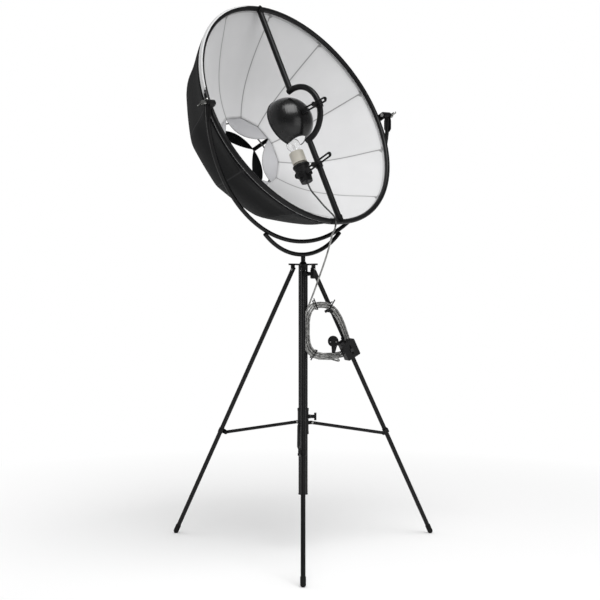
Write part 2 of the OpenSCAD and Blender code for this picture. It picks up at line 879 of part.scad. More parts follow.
module clamp_boss(at_y, at_z) {
  translate([0, at_y, at_z]) rod_x(-arm_x + 0.3, -bar_od / 2 - 1, boss_d);
}

module clamp_bore(at_y, at_z) {
  translate([0, at_y, at_z]) rod_x(-arm_x - 1, 0, screw_d + 2 * run_gap);
}

upper_half = asin(clamp_len / 2 / arch_r);

module arm_clamp_upper() {
  at = [arch_y - arch_r * sin(arm_lean), -bar_back + arch_r * cos(arm_lean)];
  color(soft_black) head_frame() difference() {
    union() {
      translate([0, arch_y, -bar_back]) rotate([arm_lean, 0, 0]) translate([0, -arch_y, bar_back])
        arch_segment(bar_od + 2 * clamp_wall, upper_half);
      clamp_boss(at[0], at[1]);
    }
    arch_segment(bar_od + 2 * fix_gap, 60);
    clamp_bore(at[0], at[1]);
  }
}

module arm_clamp_lower() {
  color(soft_black) head_frame() difference() {
    union() {
      translate([0, 0, -bar_back])
        rod_y(holder_y - clamp_len / 2, holder_y + clamp_len / 2, bar_od + 2 * clamp_wall);
      clamp_boss(holder_y, -bar_back);
    }
    translate([0, 0, -bar_back]) rod_y(holder_y - clamp_len, holder_y + clamp_len, bar_od + 2 * fix_gap);
    clamp_bore(holder_y, -bar_back);
  }
}

// Slotted strip with a foot plate, its foot at the frame's origin
module slotted_arm(top, slot) {
  difference() {
    union() {
      translate([-arm_x - arm_t, -arm_w / 2, 0]) cube([arm_t, arm_w, top - arm_w / 2]);
      translate([-arm_x - arm_t, 0, top - arm_w / 2]) rotate([0, 90, 0])
        cylinder(h = arm_t, d = arm_w);
      translate([-arm_x - arm_t, -arm_w / 2, 0]) cube([arm_x + arm_t + arm_w / 2, arm_w, arm_t]);
      rod(0, arm_t + 2, 9);
    }
    translate([-arm_x - arm_t - 1, -slot_w / 2, slot[0] + slot_w / 2])
      cube([arm_t + 2, slot_w, slot[1] - slot[0] - slot_w]);
    for (z = [slot[0] + slot_w / 2, slot[1] - slot_w / 2])
      translate([-arm_x - arm_t - 1, 0, z]) rotate([0, 90, 0])
        cylinder(h = arm_t + 2, d = slot_w);
  }
}

// Frame of the reflector arm: its foot on the bowl's boss
module reflector_frame() {
  translate([0, arch_y, -bar_back]) rotate([arm_lean, 0, 0])
    translate([0, 0, 27.5]) children();
}

module reflector_arm() {
  color(satin) head_frame() reflector_frame() slotted_arm(reflector_arm_len, [24, reflector_arm_len - slot_end]);
}

module reflector_bowl() {
  low = asin((rim_z - bowl_z) / bowl_r);
  steps = 18;
  arc = [for (i = [0:steps]) let (a = low + (90 - low) * i / steps) [cos(a), sin(a)]];
  color(soft_black) head_frame() difference() {
    union() {
      translate([0, bowl_y, bowl_z]) rotate_extrude() polygon(concat(
        [for (p = arc) bowl_r * p],
        [for (i = [steps:-1:0]) (bowl_r - bowl_wall) * arc[i]]
      ));
      translate([0, bowl_y, rim_z]) difference() {
        rod(0, 2.5, 2 * bowl_r + 3);
        rod(-1, 3.5, 2 * bowl_r - 3);
      }
      reflector_frame() rod(-4, 0, 20);
    }
    translate([-1.5, 0, -38 - notch_w / 2]) rod_y(bowl_y - bowl_r - 5, bowl_y - 30, notch_w);
    translate([-1.5 - notch_w / 2, bowl_y - bowl_r - 5, rim_z - 5])
      cube([notch_w, bowl_r - 25, 50 - notch_w / 2 + 5]);
  }
}

module holder_arm() {
  color(satin) head_frame() translate([0, holder_y, lamp_z + holder_d / 2 - 3])
    slotted_arm(holder_arm_len, [14, holder_arm_len - slot_end]);
}

// Ribbed housing on an axis along local Y, with a boss under the arm's foot
module lampholder_body() {
  deep = holder_open - holder_end;
  color(soft_black) head_frame() translate([0, 0, lamp_z]) difference() {
    union() {
      translate([0, holder_end, 0]) rotate([-90, 0, 0]) {
        cylinder(h = deep, d1 = holder_d - 18, d2 = holder_d - 4);
        translate([0, 0, deep - 6]) cylinder(h = 6, d = holder_d);
        for (k = [0:3]) translate([0, 0, deep - 14 - 7 * k])
          cylinder(h = 3, d = holder_d - 5 - 2 * k);
      }
      translate([-10, holder_y - arm_w / 2, 0]) cube([20, arm_w, holder_d / 2 - 3]);
      translate([0, holder_y - 4, 0]) rod_x(-28, 0, 24);
    }
    rod_y(holder_open - 24, holder_open + 1, socket_d + 2 * soft_gap);
    translate([0, holder_y - 4, 0]) rod_x(-30, -16, screw_d + 2 * run_gap);
  }
}

module lampholder_knob() {
  color(soft_black) head_frame() translate([0, holder_y - 4, lamp_z]) {
    rod_x(-39, -18, screw_d);
    difference() {
      rod_x(-39, -28 - soft_gap, 20);
      translate([-40, -1, 5]) cube([4, 2, 6]);
    }
  }
}

module bulb_base() {
  color(pale) head_frame() translate([0, 0, lamp_z]) {
    rod_y(cap_y[0], cap_y[1], cap_d);
    rod_y(holder_open - 22, cap_y[0], socket_d);
  }
}

module globe_shape(inset) {
  translate([0, globe_y, 0]) sphere(d = globe_d - 2 * inset);
  rod_y(cap_y[1] + (inset > 0 ? inset : 0), globe_y, 30 - 2 * inset);
}

module bulb_glass() {
  color(pale) head_frame() translate([0, 0, lamp_z]) difference() {
    globe_shape(0);
    globe_shape(1.2);
    rod_y(cap_y[1] - 1, cap_y[1] + 2, 12);
  }
}

// Lead wires, filament and the two contacts on the cap's face
module bulb_filament() {
  color(bright) head_frame() translate([0, 0, lamp_z]) {
    rod_y(cap_y[1], cap_y[1] + 6, 11);
    for (s = [-1, 1]) {
      translate([s * 4, 0, 0]) rod_y(cap_y[1] + 3, globe_y, 1.2);
      translate([s * 19.5, 0, 0]) rod_y(cap_y[1], cap_y[1] + 2.5, 6);
    }
    translate([0, globe_y, 0]) rod_x(-5, 5, 1.8);
  }
}

// Clamp knob on an arm, its screw in the clamp's boss
module clamp_knob(at_y, at_z) {
  front = -arm_x - arm_t - soft_gap;
  color(soft_black) head_frame() translate([0, at_y, at_z]) {
    rod_x(front, -bar_od / 2 - soft_gap, screw_d);
    difference() {
      rod_x(front - knob_h, front, knob_d);
      for (k = [0:7]) rotate([45 * k, 0, 0])
        translate([0, knob_d / 2 + 0.8, 0]) rod_x(front - knob_h - 1, front - 3, 4);
    }
  }
}

module clamp_knob_upper() {
  clamp_knob(arch_y - arch_r * sin(arm_lean), -bar_back + arch_r * cos(arm_lean));
}

module clamp_knob_lower() { clamp_knob(holder_y, -bar_back); }

// ---- Cord and what it carries ----

// Band round the ring with an arch over the cord
module cable_clip() {
  turn = atan2(-406, -36);
  color(soft_black) head_frame() difference() {
    union() {
      translate([0, 0, -ring_back]) rotate([0, 0, turn - 1.2]) rotate_extrude(angle = 2.4)
        translate([ring_r, 0]) circle(d = ring_od + 3);
      rotate([0, 0, turn]) translate([ring_r - 4.5, 0, -10.3]) rod_x(0, 9, cord_d + 4.6);
      rotate([0, 0, turn]) translate([ring_r - 4.5, -cord_d / 2 - 2.3, -17])
        cube([9, cord_d + 4.6, 6.7]);
    }
    translate([0, 0, -ring_back]) rotate_extrude()
      translate([ring_r, 0]) circle(d = ring_od + 2 * fix_gap);
    rotate([0, 0, turn]) translate([ring_r, 0, -10.3]) rod_x(-30, 30, cord_d + 1.2);
    translate([-ring_r, -ring_r - 50, -ring_back - 23]) cube([2 * ring_r, ring_r, 20]);
  }
}

module cord_head() { color(pale) head_frame() swept(head_path, cord_d, 10); }

module cord_drop() { color(pale) swept(drop_path, cord_d, 10); }

module cord_coil() { color(pale) swept(coil_path, cord_d, 6); }

module cord_tail() { color(pale) swept(tail_path, cord_d, 10); }

// Black straps round the coil, each with a short tail
module cord_ties() {
  wide = coil_deep + cord_d + 5;
  deep = coil_layer + cord_d - 2 * tie_bite;
  color(soft_black) for (angle = tie_at) {
    a = coil_point(angle, 0, 0);
    b = coil_point(angle, coil_deep, 0);
    m = (a + b) / 2;
    turn = atan2(b.z - a.z, b.x - a.x);
    rotate([0, 0, az_right]) translate([m.x, -m.y, m.z]) rotate([0, -turn, 0]) {
      difference() {
        cube([wide + 2.4, deep + 2.4, tie_w], center = true);
        cube([wide, deep, tie_w + 2], center = true);
      }
      translate([-wide / 2 - 10, -deep / 2 - 1.2, -tie_w / 2]) cube([9.5, 1.2, tie_w]);
    }
  }
}

// Clamp on the leg with an arm that carries a post toward the front
module leg_clamp(at, post_d, far) {
  difference() {
    union() {
      rod(at[1] - 7, at[1] + 7, leg_od + 6);
      translate([at[0] - 4, -9, at[1] - 4]) cube([-at[0] - 2, 6, 8]);
      translate([at[0], 0, at[1]]) rod_y(-far, -3, post_d);
    }
    rod(at[1] - 10, at[1] + 10, leg_od + 2 * fix_gap);
  }
}

// Hook under the coil and post behind the dimmer
module cord_clips() {
  front = coil_out + coil_layer / 2 + cord_d / 2;
  color(soft_black) leg_frame(az_right) {
    leg_clamp(hook_at, 6, front + 4);
    translate([hook_at[0], 0, hook_at[1]]) rod_y(-front - 5.5, -front - 2.5, 12);
    leg_clamp(post_at, 8, box_back);
  }
}

module dimmer_box() {
  front = -box_back - box_deep;
  color(soft_black) leg_frame(az_right) translate([box_at[0], 0, box_at[1]]) difference() {
    union() {
      for (x = [-22, 22]) for (z = [-26, 26])
        translate([x, 0, z]) rod_y(front, -box_back, 8);
      translate([-26, front, -26]) cube([52, box_deep, 52]);
      translate([-22, front, -30]) cube([44, box_deep, 60]);
    }
    translate([-3, front - 1, -16]) cube([6, 5, 32]);
  }
}

module dimmer_slider() {
  front = -box_back - box_deep;
  color(bright) leg_frame(az_right) translate([box_at[0], 0, box_at[1]]) {
    translate([-2.5, front - 1, -8]) cube([5, 4.5, 12]);
    translate([-6, front - 4, -7]) cube([12, 3.7, 10]);
  }
}

// Round plug head with its pins toward the front and a neck below
module plug_body() {
  color(soft_black) translate(plug_at) {
    rod_y(-10, 8, 36);
    rod_y(8, 12, 30);
    translate([0.6, 0, -30]) rotate([0, 5.5, 0]) difference() {
      translate([1.3, 0, -10]) cylinder(h = 26, d1 = 11, d2 = 20);
      translate([-20, -20, -20]) cube([40, 40, 10.3]);
    }
  }
}

module plug_pins() {
  color(bright) translate(plug_at)
    for (s = [-1, 1]) translate([s * 9.5, 0, 0]) rod_y(-pin_reach, -10, 4.8);
}

column_tube();
column_end_cap();
hub_spider();
hub_collar();
mast_bush();
hinge_pins();
mast_clamp_knob();
leg_front();
leg_right();
leg_left();
knuckle_front();
knuckle_right();
knuckle_left();
foot_front();
foot_right();
foot_left();
cord_clips();
dimmer_box();
dimmer_slider();
cord_coil();
cord_ties();
cord_tail();
plug_body();
plug_pins();
collar_sleeve();
collar_pins();
collar_screw();
strut_front();
strut_right();
strut_left();
inner_pole();
pole_glide();
cradle_arc();
yoke_arc();
pivot_washers();
ring_tube();
cross_bar();
shade_lining();
vent_petals();
shade_cover();
shade_frame();
vent_cap();
cable_clip();
arm_clamp_upper();
arm_clamp_lower();
pivot_bolts();
wing_nut_right();
wing_nut_left();
clamp_knob_upper();
clamp_knob_lower();
reflector_arm();
reflector_bowl();
holder_arm();
lampholder_body();
bulb_base();
bulb_glass();
bulb_filament();
cord_head();
lampholder_knob();
cord_drop();
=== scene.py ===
"""Tripod spotlight floor lamp: finishes, cloth shade, cords and studio."""

import logging
import math
from collections.abc import Callable, Iterable, Sequence
from dataclasses import dataclass
from enum import Enum

import bmesh
import bpy
from mathutils import Matrix, Vector

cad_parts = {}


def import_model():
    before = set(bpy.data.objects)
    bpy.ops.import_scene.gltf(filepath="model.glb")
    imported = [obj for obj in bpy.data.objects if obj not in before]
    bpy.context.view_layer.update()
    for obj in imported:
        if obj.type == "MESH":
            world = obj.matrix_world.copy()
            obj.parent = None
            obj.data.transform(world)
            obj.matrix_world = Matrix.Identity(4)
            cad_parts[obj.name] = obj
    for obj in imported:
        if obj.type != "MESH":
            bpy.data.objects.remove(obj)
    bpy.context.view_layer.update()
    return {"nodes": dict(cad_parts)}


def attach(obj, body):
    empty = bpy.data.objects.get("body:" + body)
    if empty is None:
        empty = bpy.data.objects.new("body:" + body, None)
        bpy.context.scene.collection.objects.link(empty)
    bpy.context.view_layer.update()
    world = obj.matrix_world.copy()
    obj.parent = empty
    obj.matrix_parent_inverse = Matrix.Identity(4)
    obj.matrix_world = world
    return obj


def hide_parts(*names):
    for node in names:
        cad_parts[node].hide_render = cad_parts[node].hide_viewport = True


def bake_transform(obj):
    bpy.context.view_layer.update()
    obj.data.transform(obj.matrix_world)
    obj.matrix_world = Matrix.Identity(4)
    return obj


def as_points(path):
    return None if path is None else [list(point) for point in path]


LOG = logging.getLogger("lamp")
MM = 0.001

Point = tuple[float, float, float]
Pair = tuple[float, float]
Cell = tuple[Vector, Pair, float]
Grid = tuple[list[list[Vector]], list[list[Pair]], list[list[float]]]


# ---------------------------------------------------------------- geometry


@dataclass(frozen=True)
class ShadeFrame:
    """The shade's own axes: x along the tilt pivots, z out of the mouth.

    Attributes:
        pivot_z: Height of the tilt axis in millimetres.
        turn: Turn about the mast in degrees.
        tilt: Upward tilt of the mouth in degrees.
    """

    pivot_z: float = 1479.5
    turn: float = 47.07
    tilt: float = 27.28

    def matrix(self) -> Matrix:
        """Return the matrix from shade millimetres to lamp metres."""
        return (
            Matrix.Translation((0.0, 0.0, self.pivot_z * MM))
            @ Matrix.Rotation(math.radians(self.turn), 4, "Z")
            @ Matrix.Rotation(math.radians(90.0 - self.tilt), 4, "X")
            @ Matrix.Scale(MM, 4)
        )

    def point(self, x: float, y: float, z: float) -> Vector:
        """Return a shade point in the lamp's frame, in metres."""
        return self.matrix() @ Vector((x, y, z))


SHADE = ShadeFrame()


def curve_point(route: Sequence[Vector], i: int, t: float) -> Vector:
    """Return a point of the smooth curve through a route.

    Args:
        route: The points that the curve passes.
        i: Index of the span's first point.
        t: Share of the span, from 0 to 1.

    Returns:
        The point on the curve.
    """
    a = route[max(i - 1, 0)]
    b = route[i]
    c = route[i + 1]
    d = route[min(i + 2, len(route) - 1)]
    return 0.5 * (
        2 * b + (c - a) * t + (2 * a - 5 * b + 4 * c - d) * t * t
        + (3 * b - a - 3 * c + d) * t * t * t
    )


def smooth_route(route: Sequence[Vector], steps: int) -> list[Vector]:
    """Return the route with several steps a span.

    Args:
        route: The points that the curve passes.
        steps: Steps in each span.

    Returns:
        The points of the finer route.
    """
    fine = [
        curve_point(route, i, j / steps)
        for i in range(len(route) - 1)
        for j in range(steps)
    ]
    return [*fine, route[-1].copy()]


def run_length(path: Sequence[Vector]) -> float:
    """Return the length of a path of straight steps."""
    return sum((b - a).length for a, b in zip(path, path[1:], strict=False))


# ------------------------------------------------------------ node helpers


def rgba(colour: Sequence[float]) -> tuple[float, ...]:
    """Return a colour with full alpha."""
    return (*colour, 1.0)


def shifted(colour: Sequence[float], gain: float, lift: float = 0.0) -> tuple[float, ...]:
    """Return a colour with full alpha, scaled and then lifted, but at most 1."""
    return rgba([min(1.0, c * gain + lift) for c in colour])


def set_inputs(node: bpy.types.Node, **values: object) -> None:
    """Set a node's inputs to constants.

    Args:
        node: The node.
        **values: Input names, with underscores for spaces, and their values.
    """
    for key, value in values.items():
        node.inputs[key.replace("_", " ")].default_value = value


class Board:
    """A material's nodes, with short calls to add and join them."""

    def __init__(self, tree: bpy.types.NodeTree) -> None:
        """Keep the tree that the nodes go to."""
        self.tree = tree

    def join(self, source: bpy.types.NodeSocket, target: bpy.types.NodeSocket) -> None:
        """Link one socket to another."""
        self.tree.links.new(source, target)

    def feed(self, value: object, target: bpy.types.NodeSocket) -> None:
        """Link a socket to the target, or set the target to a constant."""
        if isinstance(value, bpy.types.NodeSocket):
            self.join(value, target)
        else:
            target.default_value = value

    def add(self, kind: str, **values: object) -> bpy.types.Node:
        """Add a node and set its named inputs or properties.

        Args:
            kind: Blender's node type.
            **values: Input names, with underscores for spaces, or properties.

        Returns:
            The new node.
        """
        node = self.tree.nodes.new(kind)
        for key, value in values.items():
            name = key.replace("_", " ")
            socket = next((s for s in node.inputs if s.name == name and s.enabled), None)
            if socket is None:
                setattr(node, key, value)
            else:
                self.feed(value, socket)
        return node

    def math(self, how: str, a: object, b: object = 0.0) -> bpy.types.NodeSocket:
        """Add a math node and return its output.

        Args:
            how: The operation's name.
            a: First value or socket.
            b: Second value or socket.

        Returns:
            The result's socket.
        """
        node = self.tree.nodes.new("ShaderNodeMath")
        node.operation = how
        self.feed(a, node.inputs[0])
        self.feed(b, node.inputs[1])
        return node.outputs[0]

    def mix(self, share: object, a: object, b: object) -> bpy.types.NodeSocket:
        """Mix two colours.

        Args:
            share: Share of the second colour, a value or a socket.
            a: First colour or socket.
            b: Second colour or socket.

        Returns:
            The mixed colour's socket.
        """
        node = self.tree.nodes.new("ShaderNodeMix")
        node.data_type = "RGBA"
        for index, value in ((0, share), (6, a), (7, b)):
            self.feed(value, node.inputs[index])
        return node.outputs[2]

    def mix_shaders(
        self, share: bpy.types.NodeSocket, a: bpy.types.NodeSocket, b: bpy.types.NodeSocket
    ) -> bpy.types.NodeSocket:
        """Mix two shaders.

        Args:
            share: Share of the second shader.
            a: First shader.
            b: Second shader.

        Returns:
            The mixed shader's socket.
        """
        node = self.tree.nodes.new("ShaderNodeMixShader")
        for source, target in zip((share, a, b), node.inputs, strict=True):
            self.join(source, target)
        return node.outputs[0]

    def ramp(self, value: bpy.types.NodeSocket, low: float, high: float) -> bpy.types.NodeSocket:
        """Stretch a value between two limits to 0 and 1.

        Args:
            value: The socket to stretch.
            low: Value that becomes 0.
            high: Value that becomes 1.

        Returns:
            The stretched value's socket.
        """
        node = self.tree.nodes.new("ShaderNodeMapRange")
        self.join(value, node.inputs[0])
        node.inputs[1].default_value = low
        node.inputs[2].default_value = high
        return node.outputs[0]


def new_group(
    name: str, inputs: dict[str, float], outputs: Iterable[str]
) -> tuple[bpy.types.NodeTree, Board, bpy.types.Node, bpy.types.Node]:
    """Make an empty shader group with named float sockets.

    Args:
        name: The group's name.
        inputs: Input names and their usual values.
        outputs: Output names.

    Returns:
        The tree, a board on it, and its input and output nodes.
    """
    tree = bpy.data.node_groups.new(name, "ShaderNodeTree")
    for key, value in inputs.items():
        socket = tree.interface.new_socket(key, in_out="INPUT", socket_type="NodeSocketFloat")
        socket.default_value = value
    for key in outputs:
        tree.interface.new_socket(key, in_out="OUTPUT", socket_type="NodeSocketFloat")
    board = Board(tree)
    return tree, board, tree.nodes.new("NodeGroupInput"), tree.nodes.new("NodeGroupOutput")


class SharedGroups:
    """Effects that several finishes use, each built once."""

    def __init__(self) -> None:
        """Build every shared group."""
        self.grain = self._grain()
        self.wear = self._wear()
        self.weave = self._weave()

    @staticmethod
    def _grain() -> bpy.types.NodeTree:
        """Return a fine surface grain on object coordinates."""
        tree, board, given, out = new_group(
            "fine_grain", {"Scale": 900.0, "Detail": 3.0}, ("Height", "Patch")
        )
        place = board.add("ShaderNodeTexCoord")
        fine = board.add(
            "ShaderNodeTexNoise", Vector=place.outputs["Object"],
            Scale=given.outputs["Scale"], Detail=given.outputs["Detail"],
        )
        broad = board.add(
            "ShaderNodeTexNoise", Vector=place.outputs["Object"], Scale=14.0, Detail=4.0
        )
        board.join(fine.outputs[0], out.inputs["Height"])
        board.join(broad.outputs[0], out.inputs["Patch"])
        return tree

    @staticmethod
    def _wear() -> bpy.types.NodeTree:
        """Return sparse scuffs as a mask, and soft dust as another."""
        tree, board, given, out = new_group(
            "scuffs_and_dust", {"Scale": 60.0, "Amount": 0.3}, ("Scuff", "Dust")
        )
        place = board.add("ShaderNodeTexCoord")
        stretch = board.add(
            "ShaderNodeMapping", Vector=place.outputs["Object"], Scale=(1.0, 1.0, 0.25)
        )
        line = board.add(
            "ShaderNodeTexNoise", Vector=stretch.outputs[0],
            Scale=given.outputs["Scale"], Detail=8.0, Roughness=0.75,
        )
        more = board.math("MULTIPLY", given.outputs["Amount"], 0.3)
        edge = board.math("SUBTRACT", 0.78, more)
        scuff = board.math("GREATER_THAN", line.outputs[0], edge)
        cloud = board.add(
            "ShaderNodeTexNoise", Vector=place.outputs["Object"], Scale=9.0, Detail=6.0
        )
        board.join(scuff, out.inputs["Scuff"])
        board.join(board.ramp(cloud.outputs[0], 0.42, 0.72), out.inputs["Dust"])
        return tree

    @staticmethod
    def _weave() -> bpy.types.NodeTree:
        """Return a plain weave on the cloth's own metres."""
        tree, board, given, out = new_group(
            "plain_weave", {"Threads": 900.0}, ("Height", "Thread")
        )
        place = board.add("ShaderNodeUVMap", uv_map="cloth")
        split = board.add("ShaderNodeSeparateXYZ", Vector=place.outputs[0])
        turns = board.math("MULTIPLY", given.outputs["Threads"], 2.0 * math.pi)
        warp = board.math("SINE", board.math("MULTIPLY", split.outputs[0], turns))
        weft = board.math("SINE", board.math("MULTIPLY", split.outputs[1], turns))
        cross = board.math("MULTIPLY", warp, weft)
        slub = board.add("ShaderNodeTexNoise", Vector=place.outputs[0], Scale=260.0, Detail=3.0)
        lift = board.math("ADD", board.math("MULTIPLY", cross, 0.5), slub.outputs[0])
        board.join(lift, out.inputs["Height"])
        board.join(board.ramp(cross, -1.0, 1.0), out.inputs["Thread"])
        return tree


# ---------------------------------------------------------------- finishes


@dataclass(frozen=True)
class Finish:
    """One surface finish.

    Attributes:
        name: The finish's name.
        colour: Linear base colour.
        roughness: Roughness of the surface.
        grain_scale: Scale of the surface's grain.
        grain_depth: Strength of the grain's bump.
        swing: How far the roughness varies.
        specular: Strength of the mirror reflection.
    """

    name: str
    colour: Point
    roughness: float = 0.5
    grain_scale: float = 900.0
    grain_depth: float = 0.1
    swing: float = 0.1
    specular: float = 0.5

    def start(self) -> tuple[bpy.types.Material, Board, bpy.types.Node]:
        """Return a new material, its board and its main shader."""
        material = bpy.data.materials.new(self.name)
        material.use_nodes = True
        shader = material.node_tree.nodes["Principled BSDF"]
        set_inputs(
            shader, Base_Color=rgba(self.colour), Roughness=self.roughness,
            Specular_IOR_Level=self.specular,
        )
        material.diffuse_color = rgba(self.colour)
        return material, Board(material.node_tree), shader

    def grained(
        self, board: Board, shader: bpy.types.Node, shared: SharedGroups
    ) -> bpy.types.Node:
        """Give a shader fine grain and a patchy roughness.

        Args:
            board: The material's board.
            shader: Its main shader.
            shared: The shared groups.

        Returns:
            The grain group's node.
        """
        grain = board.add("ShaderNodeGroup", node_tree=shared.grain)
        set_inputs(grain, Scale=self.grain_scale)
        bump = board.add(
            "ShaderNodeBump", Height=grain.outputs["Height"], Strength=self.grain_depth,
            Distance=0.0004,
        )
        board.join(bump.outputs[0], shader.inputs["Normal"])
        rough = board.math(
            "ADD", board.math("MULTIPLY", grain.outputs["Patch"], self.swing),
            self.roughness - self.swing * 0.5,
        )
        board.join(rough, shader.inputs["Roughness"])
        return grain


@dataclass(frozen=True)
class PaintedMetal(Finish):
    """Satin paint on metal, with faint scuffs and dust.

    Attributes:
        coat: Weight of the clear coat.
        coat_roughness: Roughness of the clear coat.
        wear: Amount of scuffs.
        wear_scale: Scale of the scuffs.
        scuff_share: How strongly a scuff covers the paint.
        dust_share: How strongly dust covers it.
    """

    grain_scale: float = 1500.0
    grain_depth: float = 0.12
    swing: float = 0.12
    coat: float = 0.1
    coat_roughness: float = 0.22
    wear: float = 0.25
    wear_scale: float = 90.0
    scuff_share: float = 0.6
    dust_share: float = 0.5
    specular: float = 0.2

    def build(self, shared: SharedGroups) -> bpy.types.Material:
        """Return the painted material."""
        material, board, shader = self.start()
        self.grained(board, shader, shared)
        set_inputs(shader, Coat_Weight=self.coat, Coat_Roughness=self.coat_roughness)
        marks = board.add("ShaderNodeGroup", node_tree=shared.wear)
        set_inputs(marks, Scale=self.wear_scale, Amount=self.wear)
        dusty = board.mix(
            board.math("MULTIPLY", marks.outputs["Dust"], self.dust_share),
            rgba(self.colour), shifted(self.colour, 1.0, 0.003),
        )
        worn = board.mix(
            board.math("MULTIPLY", marks.outputs["Scuff"], self.scuff_share),
            dusty, shifted(self.colour, 2.2, 0.02),
        )
        board.join(worn, shader.inputs["Base Color"])
        return material


@dataclass(frozen=True)
class MouldedPlastic(Finish):
    """Moulded plastic with a spark-eroded grain."""

    grain_scale: float = 700.0
    grain_depth: float = 0.3
    specular: float = 0.2

    def build(self, shared: SharedGroups) -> bpy.types.Material:
        """Return the plastic material."""
        material, board, shader = self.start()
        grain = self.grained(board, shader, shared)
        colour = board.mix(
            grain.outputs["Patch"], rgba(self.colour), shifted(self.colour, 1.35, 0.004)
        )
        board.join(colour, shader.inputs["Base Color"])
        return material


@dataclass(frozen=True)
class BrightMetal(Finish):
    """Bare or plated metal with a fine grain and dull patches.

    Attributes:
        dull: Brightness of the dull patches beside the rest.
    """

    grain_scale: float = 1320.0
    swing: float = 0.14
    dull: float = 0.72

    def build(self, shared: SharedGroups) -> bpy.types.Material:
        """Return the metal material."""
        material, board, shader = self.start()
        set_inputs(shader, Metallic=1.0)
        grain = self.grained(board, shader, shared)
        colour = board.mix(
            board.ramp(grain.outputs["Patch"], 0.35, 0.75),
            rgba(self.colour), shifted(self.colour, self.dull),
        )
        board.join(colour, shader.inputs["Base Color"])
        return material


@dataclass(frozen=True)
class Cloth(Finish):
    """Woven cloth with sheen, stitched seams and painted shade in a band beside each seam.

    Attributes:
        seam_colour: Colour of the seams' thread.
        seam_width: Width of a seam in metres.
        threads: Threads in a metre.
        depth: Strength of the bump.
        sheen: Weight of the sheen.
        shaded: Brightness, beside the rest, of the darker threads and patches and of the painted
            shade beside the seams.
        uneven: How strongly threads and patches are darkened, and how dark the painted shade beside
            the seams is.
    """

    seam_colour: Point = (0.3, 0.3, 0.3)
    seam_width: float = 0.0022
    threads: float = 700.0
    depth: float = 0.35
    sheen: float = 0.15
    specular: float = 0.3
    shaded: float = 0.86
    uneven: float = 0.35

    def seam_mask(self, board: Board, low: float, high: float) -> bpy.types.NodeSocket:
        """Return a mask that is 1 at a seam.

        Args:
            board: The material's board.
            low: Distance in seam widths up to which the mask is 1.
            high: Distance in seam widths from which it is 0.

        Returns:
            The mask's socket.
        """
        seam = board.add("ShaderNodeAttribute", attribute_name="seam_gap")
        away = board.ramp(seam.outputs["Fac"], self.seam_width * low, self.seam_width * high)
        return board.math("SUBTRACT", 1.0, away)

    def build(self, shared: SharedGroups) -> bpy.types.Material:
        """Return the cloth material."""
        material, board, shader = self.start()
        weave = board.add("ShaderNodeGroup", node_tree=shared.weave)
        set_inputs(weave, Threads=self.threads)
        grain = board.add("ShaderNodeGroup", node_tree=shared.grain)
        set_inputs(grain, Scale=400.0)
        on_seam = self.seam_mask(board, 0.4, 1.4)
        # The band beside each seam is darkened below: painted shade. Threads and patches are
        # darkened too, as the cloth's own uneven tone.
        beside = self.seam_mask(board, 2.0, 6.0)
        colour = rgba(self.colour)
        for mask in (weave.outputs["Thread"], board.ramp(grain.outputs["Patch"], 0.3, 0.8), beside):
            colour = board.mix(
                board.math("MULTIPLY", mask, self.uneven), colour,
                shifted(self.colour, self.shaded),
            )
        colour = board.mix(on_seam, colour, rgba(self.seam_colour))
        board.join(colour, shader.inputs["Base Color"])
        lift = board.math(
            "ADD", board.math("MULTIPLY", weave.outputs["Height"], 0.25),
            board.math("MULTIPLY", on_seam, 2.0),
        )
        bump = board.add("ShaderNodeBump", Height=lift, Strength=self.depth, Distance=0.0005)
        board.join(bump.outputs[0], shader.inputs["Normal"])
        set_inputs(shader, Sheen_Weight=self.sheen)
        return material


@dataclass(frozen=True)
class ClearGlass(Finish):
    """Thin clear glass."""

    def build(self, shared: SharedGroups) -> bpy.types.Material:
        """Return the glass material."""
        del shared
        material, board, shader = self.start()
        set_inputs(shader, Transmission_Weight=1.0, IOR=1.45)
        place = board.add("ShaderNodeTexCoord")
        waver = board.add(
            "ShaderNodeTexNoise", Vector=place.outputs["Object"], Scale=60.0, Detail=2.0
        )
        bump = board.add(
            "ShaderNodeBump", Height=waver.outputs[0], Strength=0.05, Distance=0.001
        )
        board.join(bump.outputs[0], shader.inputs["Normal"])
        return material


@dataclass(frozen=True)
class CordSheath(Finish):
    """Clear sheath over two pale twisted cores.

    Attributes:
        core: Colour of the cores' light side.
        gap: Colour of the gaps between the cores.
        clear: Weight of the light that passes the sheath.
    """

    core: Point = (0.4, 0.4, 0.385)
    gap: Point = (0.1, 0.1, 0.1)
    clear: float = 0.25

    def build(self, shared: SharedGroups) -> bpy.types.Material:
        """Return the cord material."""
        material, board, shader = self.start()
        place = board.add("ShaderNodeTexCoord")
        twist = board.add(
            "ShaderNodeTexNoise", Vector=place.outputs["Object"], Scale=95.0, Detail=2.0
        )
        marks = board.add("ShaderNodeGroup", node_tree=shared.wear)
        set_inputs(marks, Scale=30.0)
        cores = board.mix(
            board.ramp(twist.outputs[0], 0.4, 0.6), rgba(self.core), rgba(self.colour)
        )
        gaps = board.math("MULTIPLY", marks.outputs["Dust"], 0.4)
        board.join(board.mix(gaps, cores, rgba(self.gap)), shader.inputs["Base Color"])
        set_inputs(
            shader, Coat_Weight=0.5, Coat_Roughness=0.12, Transmission_Weight=self.clear, IOR=1.3
        )
        return material


